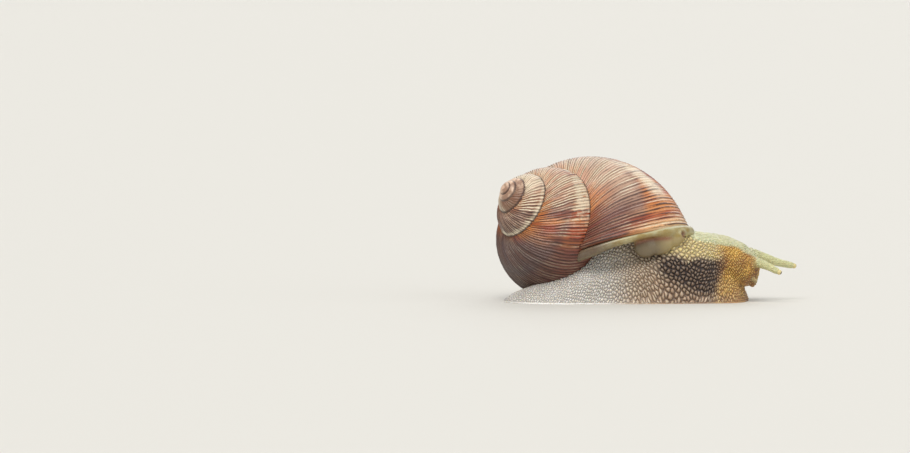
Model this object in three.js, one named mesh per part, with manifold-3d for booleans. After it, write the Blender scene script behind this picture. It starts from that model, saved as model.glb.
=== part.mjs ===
// A land snail (Roman snail, Helix pomatia) at life size, crawling with its head stretched forward and down.
// Millimetres, +Z up, +X towards the head, +Y to the animal's left. The origin is the middle of the sole, on the floor.
import * as THREE from 'three';
import { mergeVertices } from 'three/addons/utils/BufferGeometryUtils.js';
import Module from 'manifold-3d';

const wasm = await Module();
wasm.setup();

const { PI, abs, atan2, cos, exp, max, min, pow, round, sin } = Math;
const TURN = 2 * PI;
const radians = THREE.MathUtils.degToRad;
const lerp = THREE.MathUtils.lerp;
const smoothstep = THREE.MathUtils.smoothstep;
const vec = (x, y, z) => new THREE.Vector3(x, y, z);

// ---------------------------------------------------------------- driving dimensions
const GAP = 0.3; // clearance between neighbouring pieces
const CLEAR = GAP + 0.08; // the same for a form that is grown, whose slopes take a little of it
const NEAR = 1e-3; // points nearer than this are one
const ROUNDING = 1e4; // and are kept to a ten-thousandth
const REACH = 120; // longer than anything here
const SLIVERS = [0, 0.005, 0.01, 0.015, 0.02, 0.03, 0.04, 0.05, 0.06, 0.08, 0.1]; // lengths of edge tried for removal

const SHELL = {
  coilRadius: 12.32, // from the coiling axis to the middle of the mouth's section
  expansion: 0.577, // natural logarithm of the growth in one turn
  slowing: -0.0108, // change of that growth per turn
  drop: 2.391, // height of the section's middle below the apex, in coil radii
  lastDrop: 0.393, // further descent of the last stretch, in coil radii
  lastDropFrom: -0.45, // where that descent starts, in turns before the mouth
  lastDropSpan: 0.6,
  domeTo: -1.9, // the whorls before this make a blunter tip
  domeGrowth: 0.85, // with this share of the later growth
  domeRise: 0.88, // and of the later climb
  halfWidth: 0.89, // section half sizes, in coil radii
  halfHeight: 1.23,
  sectionTilt: 19.2, // degrees
  turns: 3.75, // whorls after the nucleus
  nucleus: 2.8, // radius of the embryonic shell, the ball at the tip
  nucleusHeight: -4.95, // its middle, along the axis of the coil
  points: 24, // round each section
  apexRise: 31.8, // direction of the apex: degrees above level
  apexHeading: 36.0, // and degrees from straight back towards the right side
  mouthTurn: 172.6, // turn of the coil about its own axis
  apex: vec(-29.63, -8.54, 26.56),
  flare: 0.7, // outward roll of the lip
  flareTurns: 0.035,
  lipGap: 0.007, // turns past the lip that neighbours stay clear of
  rimWall: 0.9, // thickness of the lip
  recess: 2.2, // depth of the mouth behind the lip
  olderFrom: -0.6, // the whorls before this stand in the mouth as its inner wall
  early: { until: -2, steps: 16 }, // rings in a turn: few in the first whorls
  later: { until: -1, steps: 28 },
  last: { steps: 36 },
  mouthSteps: 40,
  insideFrom: -0.25, // the stretch that the hollow of the mouth and its filling are cut from
  insideTo: 0.05,
};

// The plane of the shell's mouth: it rises towards the head and towards the right side.
const MOUTH = { point: vec(1.0, -1.95, 13.76), rise: 0.271, roll: -0.2 };

// The mantle's rolled edge under the lip, and where it ends.
const COLLAR = {
  thick: 1.5, bulge: 0.45, inset: 0.25, inner: 1.7, sunk: 0.2, start: 0.15, back: -11.6, front: 12.6, low: 6.8,
  roll: 1.8, // how much further it bulges at its right front corner
  deeper: 0.7, // how much thicker it is there, as a share
  rollFrom: vec(2, 1, 0), // where that swelling starts, forwards and towards the right side
  rollTo: vec(11, -3, 0), // and where it is full
};
const LOBE = { centre: vec(5.4, -9.3, 13.2), half: vec(5.0, 1.7, 2.6), rise: 14 }; // fold below it on the right
const PORE = { centre: vec(11.1, -8.2, 15.0), radius: 0.75 }; // breathing hole

// The body by its length: [x, value] pairs, joined by smooth curves.
const BODY = {
  middle: [[-28.2, -6.4], [-18, -4.9], [-8, -3.0], [2, -1.9], [13, -1.6], [21, -2.0], [28.2, -3.3]],
  top: [[-28.2, 0.7], [-26, 2.1], [-22, 3.6], [-18.3, 5.0], [-12, 8.6], [-7, 13], [0, 17], [8, 17.4],
    [13.4, 15.5], [16, 15.1], [19.4, 14.5], [21.5, 12.6], [23.3, 7.9], [24.5, 3.7], [25.2, 1.3]],
  half: [[-28.2, 0.8], [-26, 3.0], [-22, 5.4], [-18, 7.0], [-10, 8.4], [0, 9.0], [8, 8.6], [14, 7.9],
    [18, 7.2], [20.5, 6.6], [22.6, 5.6], [24.2, 4.2], [25.2, 2.2]],
  square: [[-28, 2.0], [-16, 2.2], [-8, 3.4], [8, 3.2], [13, 2.3], [25, 2.1]],
  shoulder: [[-18, 4.6], [-7, 6.3], [1.8, 8.0], [7.9, 10.6], [12, 13]],
  waist: [[-17, 0], [-11, 0.22], [-4, 0.3], [4, 0.22], [9, 0.08], [12, 0]],
  bend: [1, 1.8], // the waist sets in from this far below the shoulder to this far above it
  fringe: 1.1, // how far the sole's edge stands out
  fringeHeight: 0.9,
  fringeFull: 4, // half width from which it does
  from: -28.2,
  to: 25.2,
  sidePoints: 14,
  solePoints: 6,
};
const HEAD = {
  top: [[17, 13.6], [19.4, 14.6], [22.7, 13.5], [25, 12.2], [26.6, 10.7], [27.5, 9.2], [27.9, 7.9]],
  bottom: [[17, 4.5], [21, 3.7], [24, 3.3], [25.6, 3.4], [26.8, 4.4], [27.5, 5.7], [27.9, 6.8]],
  half: [[17, 6.2], [20, 6.2], [22.5, 5.7], [24.8, 4.9], [26.4, 3.9], [27.4, 2.5], [27.9, 1.0]],
  square: 2.1,
  from: 17,
  to: 27.9,
  thin: 0.15, // half width kept along the ridge and the chin
  sidePoints: 12,
  solePoints: 3,
};
const ENDS = 0.12; // share of a half circle left out at each end where rings lie closer
const WARTS = { height: 0.26, headHeight: 0.14, pitch: 1.15, headPitch: 1 }; // coarse stand for the fine ones of the skin
const MOUTHPARTS = {
  slit: { centre: vec(27.1, -3.05, 4.5), half: vec(1.1, 0.25, 1.1) },
  lipLeft: { centre: vec(26.2, -2.2, 4.6), half: vec(1.0, 0.95, 1.3) },
  lipRight: { centre: vec(26.1, -3.9, 4.6), half: vec(1.0, 0.95, 1.3) },
};

const CUTS = { tail: -13.5, neck: 12.2, head: 20.6, sole: 2.7 }; // where the body is parted

const UPPER = { rootRadius: 1.25, tipRadius: 0.72, eye: 0.58, sides: 12 }; // long tentacles, with the eyes
const LOWER = { rootRadius: 0.85, tipRadius: 0.5, sides: 10 }; // short ones beside the mouth
const TAPER = { power: 0.7, rings: 8, leans: [35, 65] }; // how the feelers thin, and the rounding of their ends in degrees
const TENTACLES = {
  tentacle_upper_left: { ...UPPER, path: [vec(24.2, -0.2, 10.2), vec(28.5, 0.9, 9.5), vec(32.0, 2.0, 8.35), vec(35.15, 3.0, 7.6)] },
  tentacle_upper_right: { ...UPPER, path: [vec(24.4, -4.6, 9.5), vec(27.6, -5.9, 8.6), vec(29.7, -6.8, 7.8), vec(31.3, -7.5, 7.0)] },
  tentacle_lower_left: { ...LOWER, path: [vec(25.5, -1.4, 5.8), vec(26.6, -0.8, 5.5), vec(27.5, -0.4, 4.9)] },
  tentacle_lower_right: { ...LOWER, path: [vec(25.1, -4.7, 5.7), vec(26.1, -5.4, 5.3), vec(27.0, -5.9, 4.7)] },
};

// ---------------------------------------------------------------- solids from rings and three.js geometry

// A manifold-3d solid from a closed three.js geometry.
function solid(geometry, near = 1e-5) {
  const bare = geometry.clone();
  bare.deleteAttribute('normal');
  bare.deleteAttribute('uv');
  const merged = mergeVertices(bare, near);
  return new wasm.Manifold(new wasm.Mesh({
    numProp: 3,
    vertProperties: new Float32Array(merged.attributes.position.array),
    triVerts: new Uint32Array(merged.index.array),
  }));
}

// A closed surface through rings of points, each ring closed by a fan at the two ends.
function loft(rings) {
  const n = rings[0].length;
  const points = rings.flat();
  const index = [];
  for (let i = 0; i + 1 < rings.length; i++) {
    for (let j = 0; j < n; j++) {
      const a = i * n + j, b = i * n + (j + 1) % n, c = a + n, d = b + n;
      index.push(a, b, d, a, d, c);
    }
  }
  for (const [ring, start, forward] of [[rings[0], 0, false], [rings.at(-1), (rings.length - 1) * n, true]]) {
    const centre = points.push(ring.reduce((s, p) => s.add(p), vec(0, 0, 0)).divideScalar(n)) - 1;
    for (let j = 0; j < n; j++) {
      const a = start + j, b = start + (j + 1) % n;
      if (forward) index.push(a, b, centre);
      else index.push(b, a, centre);
    }
  }
  const geometry = new THREE.BufferGeometry().setFromPoints(points).setIndex(index);
  const made = solid(geometry);
  if (made.volume() > 0) return made;
  const turned = index.slice();
  for (let i = 0; i < turned.length; i += 3) [turned[i], turned[i + 1]] = [turned[i + 1], turned[i]];
  return solid(new THREE.BufferGeometry().setFromPoints(points).setIndex(turned));
}

const union = (parts) => parts.reduce((a, b) => a.add(b));

const ball = (centre, radius) => solid(new THREE.SphereGeometry(radius, 12, 8).translate(...centre));

// A ball with its own half size along each axis, nose up by a rise in degrees.
function egg({ centre, half, rise = 0 }, grow = 0) {
  const shape = new THREE.SphereGeometry(1, 16, 10).scale(half.x + grow, half.y + grow, half.z + grow);
  return solid(shape.rotateY(-radians(rise)).translate(...centre));
}

// Whether every edge still joins exactly two faces once the points are rounded, as in a file with few decimals.
function facesMeetInPairs(made) {
  const { numVert, numProp, vertProperties, triVerts } = made.getMesh();
  const names = new Map();
  const ids = [];
  for (let i = 0; i < numVert; i++) {
    const key = [0, 1, 2].map((k) => Math.round(vertProperties[i * numProp + k] * ROUNDING)).join();
    if (!names.has(key)) names.set(key, names.size);
    ids.push(names.get(key));
  }
  const faces = new Map();
  for (let i = 0; i < triVerts.length; i += 3) {
    const corners = [0, 1, 2].map((k) => ids[triVerts[i + k]]);
    if (new Set(corners).size < 3) continue;
    for (let k = 0; k < 3; k++) {
      const [a, b] = [corners[k], corners[(k + 1) % 3]];
      const edge = a < b ? `${a},${b}` : `${b},${a}`;
      faces.set(edge, (faces.get(edge) ?? 0) + 1);
    }
  }
  return [...faces.values()].every((count) => count === 2);
}

// The largest closed surface of a solid, without slivers, scraps or sealed hollows.
function tidy(made) {
  for (const sliver of SLIVERS) {
    const whole = solid(geometryOf(sliver ? made.simplify(sliver) : made), NEAR);
    const body = whole.decompose().sort((a, b) => b.volume() - a.volume())[0];
    if (facesMeetInPairs(body)) return body;
  }
  throw new Error('a solid keeps an edge that more than two faces share');
}

function geometryOf(made) {
  const mesh = made.getMesh();
  const positions = new Float32Array(mesh.numVert * 3);
  for (let i = 0; i < mesh.numVert; i++) {
    positions.set(mesh.vertProperties.subarray(i * mesh.numProp, i * mesh.numProp + 3), i * 3);
  }
  const geometry = new THREE.BufferGeometry();
  geometry.setAttribute('position', new THREE.BufferAttribute(positions, 3));
  geometry.setIndex(new THREE.BufferAttribute(mesh.triVerts, 1));
  geometry.computeVertexNormals();
  return geometry;
}

// ---------------------------------------------------------------- the coil of the shell

const coilFrame = (() => {
  const rise = radians(SHELL.apexRise), heading = radians(SHELL.apexHeading), turn = radians(SHELL.mouthTurn);
  const axis = vec(-cos(rise) * cos(heading), -cos(rise) * sin(heading), sin(rise));
  const level = axis.clone().cross(vec(0, 0, 1)).normalize();
  const steep = axis.clone().cross(level);
  const x = level.multiplyScalar(cos(turn)).addScaledVector(steep, sin(turn));
  const y = axis.clone().cross(x);
  return new THREE.Matrix4().makeBasis(x, y, axis).setPosition(SHELL.apex);
})();

const mouthHeight = (x, y) => MOUTH.point.z + MOUTH.rise * (x - MOUTH.point.x) + MOUTH.roll * (y - MOUTH.point.y);
const mouthDown = vec(MOUTH.rise, MOUTH.roll, -1).normalize(); // out of the mouth

// Size of the section at t, as a share of the mouth's. The first whorls grow more slowly, so that the tip is a dome.
function growth(t) {
  const late = max(t, SHELL.domeTo);
  return exp(SHELL.expansion * (late + SHELL.domeGrowth * (t - late)) + SHELL.slowing * late * late / 2);
}

// A point of the coil, t turns from the mouth (negative is older) and at the section angle alpha.
function coilPoint(t, alpha, grow = 0) {
  const size = SHELL.coilRadius * growth(t);
  const descent = max(0, (t - SHELL.lastDropFrom) / SHELL.lastDropSpan);
  const dome = (1 - SHELL.domeRise) * max(0, SHELL.coilRadius * growth(SHELL.domeTo) - size);
  const middle = -SHELL.drop * (size + dome) - SHELL.lastDrop * SHELL.coilRadius * descent * descent;
  const tilt = radians(SHELL.sectionTilt);
  const u = (SHELL.halfWidth * size + grow) * cos(alpha);
  const v = (SHELL.halfHeight * size + grow) * sin(alpha);
  const radius = size + u * cos(tilt) - v * sin(tilt);
  const height = middle + u * sin(tilt) + v * cos(tilt);
  const angle = -TURN * t;
  return vec(radius * cos(angle), radius * sin(angle), height).applyMatrix4(coilFrame);
}

// Turns from the reference section to the plane of the mouth, by section angle.
const mouthOffsets = Array.from({ length: SHELL.points }, (_, j) => {
  const alpha = TURN * j / SHELL.points;
  let [low, high] = [-0.5, 0.35];
  for (let i = 0; i < 40; i++) {
    const t = (low + high) / 2;
    const p = coilPoint(t, alpha);
    if (p.z > mouthHeight(p.x, p.y)) low = t;
    else high = t;
  }
  return (low + high) / 2;
});

// One growth ring: the section as it stood, u turns before the lip.
const growthRing = (u, grow) => mouthOffsets.map((offset, j) => coilPoint(u + offset, TURN * j / SHELL.points, grow));

const flare = (u) => SHELL.flare * exp(u / SHELL.flareTurns);

// The coil from u0 to u1 in closed quarter turns, so that none meets itself.
function coil(u0, u1, stepsPerTurn, grow = () => 0) {
  const steps = round((u1 - u0) * stepsPerTurn);
  const ringAt = (k) => lerp(u0, u1, k / steps);
  const quarters = [];
  for (let i = 0; i < steps; i += stepsPerTurn / 4) {
    const rings = [];
    for (let k = i; k <= min(i + stepsPerTurn / 4, steps); k++) rings.push(growthRing(ringAt(k), grow(ringAt(k))));
    quarters.push(loft(rings));
  }
  return union(quarters);
}

// ---------------------------------------------------------------- the mouth and the mantle

const olderWhorls = (grow) => coil(SHELL.olderFrom - 1.1, SHELL.olderFrom, 20, () => grow);
const mouthInside = (grow) => coil(SHELL.insideFrom, SHELL.insideTo, SHELL.mouthSteps, () => grow);

// All that lies between two depths below the plane of the mouth (negative is inside the shell).
function layer(from, to) {
  const slab = new THREE.BoxGeometry(REACH, REACH, to - from);
  slab.translate(0, 0, (from + to) / 2);
  const turn = new THREE.Quaternion().setFromUnitVectors(vec(0, 0, 1), mouthDown);
  return solid(slab.applyQuaternion(turn).translate(...MOUTH.point));
}

function shell() {
  const tip = vec(0, 0, SHELL.nucleusHeight).applyMatrix4(coilFrame);
  const { early, later, last } = SHELL;
  const whorls = [
    ball(tip, SHELL.nucleus), coil(-SHELL.turns, early.until, early.steps),
    coil(early.until, later.until, later.steps), coil(later.until, 0, last.steps, flare),
  ];
  const hollow = mouthInside(-SHELL.rimWall).subtract(olderWhorls(0)).intersect(layer(-SHELL.recess, REACH));
  return tidy(union(whorls).subtract(hollow));
}

// The lip's outline, moved outwards and down from the plane of the mouth, with a share of the front's swelling.
function rimRing(out, down, share) {
  const [near, far] = [growthRing(0, out), growthRing(0, out + COLLAR.roll)];
  return near.map((p, i) => {
    const forward = smoothstep(p.x, COLLAR.rollFrom.x, COLLAR.rollTo.x);
    const full = share * forward * (1 - smoothstep(p.y, COLLAR.rollTo.y, COLLAR.rollFrom.y));
    return p.lerp(far[i], full).addScaledVector(mouthDown, GAP + (down - GAP) * (1 + full * COLLAR.deeper));
  });
}

function mantleForm(grow) {
  const t = COLLAR.thick;
  const roll = loft([
    rimRing(-COLLAR.inner + grow, -COLLAR.sunk - grow, 0), rimRing(-COLLAR.inset + grow, GAP + COLLAR.start - grow, 1),
    rimRing(COLLAR.bulge + grow, GAP + t * 0.5, 1),
    rimRing(-COLLAR.inset + grow, GAP + t * 0.9 + grow, 1), rimRing(-COLLAR.inner + grow, GAP + t + grow, 0.5),
  ]);
  return roll.add(egg(LOBE, grow));
}

function mantle(shellGrown) {
  const plug = mouthInside(-SHELL.rimWall - GAP).intersect(layer(GAP - SHELL.recess, GAP + COLLAR.thick / 3));
  const pore = new THREE.SphereGeometry(PORE.radius, 10, 8).translate(...PORE.centre);
  const roll = mantleForm(0).subtract(shellGrown).intersect(block(COLLAR.back, REACH, COLLAR.low, REACH));
  return tidy(roll.add(plug.subtract(olderWhorls(GAP))).subtract(solid(pore)));
}

// ---------------------------------------------------------------- the body

// A smooth curve through [x, value] pairs.
function curve(pairs, x) {
  const last = pairs.length - 1;
  if (x <= pairs[0][0]) return pairs[0][1];
  if (x >= pairs[last][0]) return pairs[last][1];
  const slope = (i) => {
    const [a, b] = [pairs[max(i - 1, 0)], pairs[min(i + 1, last)]];
    return (b[1] - a[1]) / (b[0] - a[0]);
  };
  const i = pairs.findIndex((pair) => pair[0] > x) - 1;
  const [[x0, y0], [x1, y1]] = [pairs[i], pairs[i + 1]];
  const [t, span] = [(x - x0) / (x1 - x0), x1 - x0];
  const [t2, t3] = [t * t, t * t * t];
  return y0 * (2 * t3 - 3 * t2 + 1) + slope(i) * span * (t3 - 2 * t2 + t)
    + y1 * (3 * t2 - 2 * t3) + slope(i + 1) * span * (t3 - t2);
}

// A ring of the body at x, moved by a shift, with its half width given by height and warts on its odd points.
function bodyRing(x, shift, bottom, top, halfAt, { sidePoints, solePoints }, wartAt) {
  const middle = curve(BODY.middle, x);
  const heading = atan2(curve(BODY.middle, x + 0.5) - curve(BODY.middle, x - 0.5), 1);
  const place = (side, z) => vec(x + shift - side * sin(heading), middle + side * cos(heading), z);
  const left = [];
  const right = [];
  for (let j = 0; j < sidePoints; j++) {
    const lean = PI / 2 * j / sidePoints;
    const z = lerp(bottom, top, sin(lean));
    const [out, up] = [halfAt(z) + wartAt(j) * cos(lean), z + wartAt(j) * sin(lean)];
    left.push(place(out, up));
    right.unshift(place(-out, up));
  }
  const sole = [];
  for (let j = 1; j < solePoints; j++) {
    sole.push(place(lerp(-halfAt(bottom), halfAt(bottom), j / solePoints), bottom));
  }
  return [...left, place(0, top), ...right, ...sole];
}

// Half width of a round-topped section, squarer as the power rises.
const archWidth = (half, share, power) => half * pow(max(0, 1 - pow(share, power)), 1 / power);

// Places along a length, closer at its two ends, each with the shift that lengthens the form by grow at both.
function stations(from, to, pitch, grow) {
  const count = round((to - from) / pitch);
  return Array.from({ length: count + 1 }, (_, i) => {
    const share = 0.5 - 0.5 * cos(PI * lerp(ENDS, 1 - ENDS, i / count)) / cos(PI * ENDS);
    return [lerp(from, to, share), grow * (2 * share - 1)];
  });
}

function trunk(grow) {
  const [below, above] = BODY.bend;
  const rings = stations(BODY.from, BODY.to, WARTS.pitch, grow).map(([x, shift], i) => {
    const top = curve(BODY.top, x) + grow;
    const half = curve(BODY.half, x) + grow;
    const power = curve(BODY.square, x);
    const shoulder = curve(BODY.shoulder, x);
    const fringe = min(1, half / BODY.fringeFull) * BODY.fringe;
    const halfAt = (z) => {
      const waist = 1 - curve(BODY.waist, x) * smoothstep(z, shoulder - below, shoulder + above);
      return archWidth(half, z / top, power) * waist + fringe * exp(-z / BODY.fringeHeight);
    };
    const wartAt = (j) => (grow === 0 && j > 0 && (i + j) % 2 ? WARTS.height : 0);
    return bodyRing(x, shift, 0, top, halfAt, BODY, wartAt);
  });
  return loft(rings);
}

function headForm(grow) {
  const rings = stations(HEAD.from, HEAD.to, WARTS.headPitch, grow).map(([x, shift], i) => {
    const top = curve(HEAD.top, x) + grow;
    const bottom = curve(HEAD.bottom, x) - grow;
    const half = curve(HEAD.half, x) + grow;
    const level = (top + bottom) / 2;
    const halfAt = (z) => max(HEAD.thin, archWidth(half, abs(z - level) / (top - level), HEAD.square));
    const wartAt = (j) => (grow === 0 && (i + j) % 2 ? WARTS.headHeight : 0);
    return bodyRing(x, shift, bottom, top, halfAt, HEAD, wartAt);
  });
  const { slit, lipLeft, lipRight } = MOUTHPARTS;
  return union([loft(rings), egg(lipLeft, grow), egg(lipRight, grow)]).subtract(egg(slit, -grow));
}

const bodyForm = (grow) => trunk(grow).add(headForm(grow));

// Everything between two lengths, above a height or below it.
function block(x0, x1, z0, z1) {
  return solid(new THREE.BoxGeometry(x1 - x0, REACH, z1 - z0).translate((x0 + x1) / 2, 0, (z0 + z1) / 2));
}

function bodyPieces(shellGrown) {
  const [far, half] = [REACH / 2, GAP / 2];
  const whole = bodyForm(0)
    .subtract(shellGrown)
    .subtract(mantleForm(CLEAR))
    .subtract(layer(-REACH, GAP * 2 + COLLAR.thick).intersect(block(-far, COLLAR.front, 0, far)));
  const part = (...blocks) => tidy(whole.intersect(union(blocks)));
  return {
    tail: part(block(-far, CUTS.tail - half, -1, far)),
    foot: part(block(CUTS.tail + half, CUTS.neck - half, -1, far), block(CUTS.tail + half, far, -1, CUTS.sole - half)),
    neck: part(block(CUTS.neck + half, CUTS.head - half, CUTS.sole + half, far)),
    head: part(block(CUTS.head + half, far, CUTS.sole + half, far)),
  };
}

// ---------------------------------------------------------------- tentacles and eyes

// A tapering round feeler along a path, with a rounded end.
function feeler({ path, rootRadius, tipRadius, sides }) {
  const line = new THREE.CatmullRomCurve3(path);
  const rings = [];
  for (let i = 0; i <= TAPER.rings; i++) {
    const centre = line.getPointAt(i / TAPER.rings);
    const along = line.getTangentAt(i / TAPER.rings);
    const radius = lerp(rootRadius, tipRadius, pow(i / TAPER.rings, TAPER.power));
    rings.push(discRing(centre, along, radius, sides));
  }
  for (const lean of TAPER.leans) {
    const centre = line.getPointAt(1).addScaledVector(line.getTangentAt(1), tipRadius * sin(radians(lean)));
    rings.push(discRing(centre, line.getTangentAt(1), tipRadius * cos(radians(lean)), sides));
  }
  return loft(rings);
}

function discRing(centre, along, radius, sides) {
  const level = along.clone().cross(vec(0, 0, 1)).normalize();
  const steep = level.clone().cross(along);
  return Array.from({ length: sides }, (_, j) => centre.clone()
    .addScaledVector(level, radius * cos(TURN * j / sides))
    .addScaledVector(steep, radius * sin(TURN * j / sides)));
}

function tentacle(sizes) {
  const made = feeler(sizes).subtract(bodyForm(CLEAR));
  return tidy(sizes.eye ? made.subtract(ball(eyeCentre(sizes), sizes.eye + GAP)) : made);
}

function eyeCentre({ path, tipRadius }) {
  const line = new THREE.CatmullRomCurve3(path);
  return line.getPointAt(1).addScaledVector(line.getTangentAt(1), tipRadius);
}

// ---------------------------------------------------------------- assembly
const SKIN = new THREE.MeshStandardMaterial({ color: 0xb8a078, roughness: 0.45 });
const MANTLE = new THREE.MeshStandardMaterial({ color: 0xcdb267, roughness: 0.35 });
const HORN = new THREE.MeshStandardMaterial({ color: 0xb0703c, roughness: 0.4 });
const FEELER = new THREE.MeshStandardMaterial({ color: 0xd9cf9a, roughness: 0.35 });
const EYE = new THREE.MeshStandardMaterial({ color: 0x3a2f28, roughness: 0.2 });

const snail = new THREE.Group();
function place(name, made, material) {
  const mesh = new THREE.Mesh(geometryOf(made), material);
  mesh.name = name;
  snail.add(mesh);
}

const shellGrown = union([
  coil(SHELL.early.until, SHELL.later.until, SHELL.later.steps, () => GAP),
  coil(SHELL.later.until, SHELL.lipGap, SHELL.last.steps, (u) => GAP + flare(u)),
]);
place('shell', shell(), HORN);
place('mantle', mantle(shellGrown), MANTLE);
for (const [name, made] of Object.entries(bodyPieces(shellGrown))) place(name, made, SKIN);
for (const [name, sizes] of Object.entries(TENTACLES)) {
  place(name, tentacle(sizes), FEELER);
  if (sizes.eye) place(name.replace('tentacle_upper', 'eye'), ball(eyeCentre(sizes), sizes.eye), EYE);
}

export default snail;
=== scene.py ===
"""A crawling land snail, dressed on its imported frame: shell, mantle, one skin over the body, and the eyes.

Sizes in the classes are millimetres in the frame's own axes: +X to the head, +Y to the animal's left, +Z up.
Finished meshes are metres.
"""

import logging
import math
from collections.abc import Callable
from dataclasses import dataclass, field, replace
from enum import Enum
from typing import Any, Protocol

import bpy
import numpy as np
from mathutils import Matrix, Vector


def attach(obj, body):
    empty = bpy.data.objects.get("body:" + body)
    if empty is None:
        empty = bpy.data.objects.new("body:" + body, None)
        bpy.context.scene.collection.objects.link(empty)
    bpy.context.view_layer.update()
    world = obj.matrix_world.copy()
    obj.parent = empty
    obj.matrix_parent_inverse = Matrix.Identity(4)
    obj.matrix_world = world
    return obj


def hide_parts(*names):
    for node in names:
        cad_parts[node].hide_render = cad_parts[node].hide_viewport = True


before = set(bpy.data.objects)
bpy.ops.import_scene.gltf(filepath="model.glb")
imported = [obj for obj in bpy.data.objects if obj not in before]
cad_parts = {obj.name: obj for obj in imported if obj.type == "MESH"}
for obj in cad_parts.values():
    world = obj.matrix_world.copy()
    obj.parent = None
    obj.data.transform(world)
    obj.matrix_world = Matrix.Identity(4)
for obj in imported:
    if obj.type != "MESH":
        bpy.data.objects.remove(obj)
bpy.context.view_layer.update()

MM = 0.001
TURN = 2 * math.pi
LOG = logging.getLogger("snail")


def paint(code: str) -> tuple[float, float, float, float]:
    """Turns a colour code into the linear colour that a socket takes.

    Args:
        code: six hexadecimal digits, red first.

    Returns:
        Red, green, blue and alpha.
    """
    shares = [int(code[i : i + 2], 16) / 255 for i in (0, 2, 4)]
    linear = [s / 12.92 if s <= 0.04045 else ((s + 0.055) / 1.055) ** 2.4 for s in shares]
    return (*linear, 1.0)


# ---------------------------------------------------------------- node trees written as expressions


def reckon(operation: str, turned: bool = False) -> Callable[["Value", Any], "Value"]:
    """Makes one of Python's operators for the numbers of a node tree.

    Args:
        operation: the Math node's operation.
        turned: whether the other number comes first.

    Returns:
        The operator.
    """

    def worked_out(self: "Value", other: Any) -> "Value":
        """Adds the Math node."""
        return self.tree.math(operation, *((other, self) if turned else (self, other)))

    return worked_out


class Value:
    """A number that a node tree works out, written with Python's operators and their reflected forms."""

    __add__, __radd__ = reckon("ADD"), reckon("ADD", True)
    __sub__, __rsub__ = reckon("SUBTRACT"), reckon("SUBTRACT", True)
    __mul__, __rmul__ = reckon("MULTIPLY"), reckon("MULTIPLY", True)
    __truediv__, __rtruediv__ = reckon("DIVIDE"), reckon("DIVIDE", True)
    __pow__, __rpow__ = reckon("POWER"), reckon("POWER", True)

    def __init__(self, tree: "Tree", socket: bpy.types.NodeSocket) -> None:
        """Keeps the tree and the socket that carries the number."""
        self.tree = tree
        self.socket = socket


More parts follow.
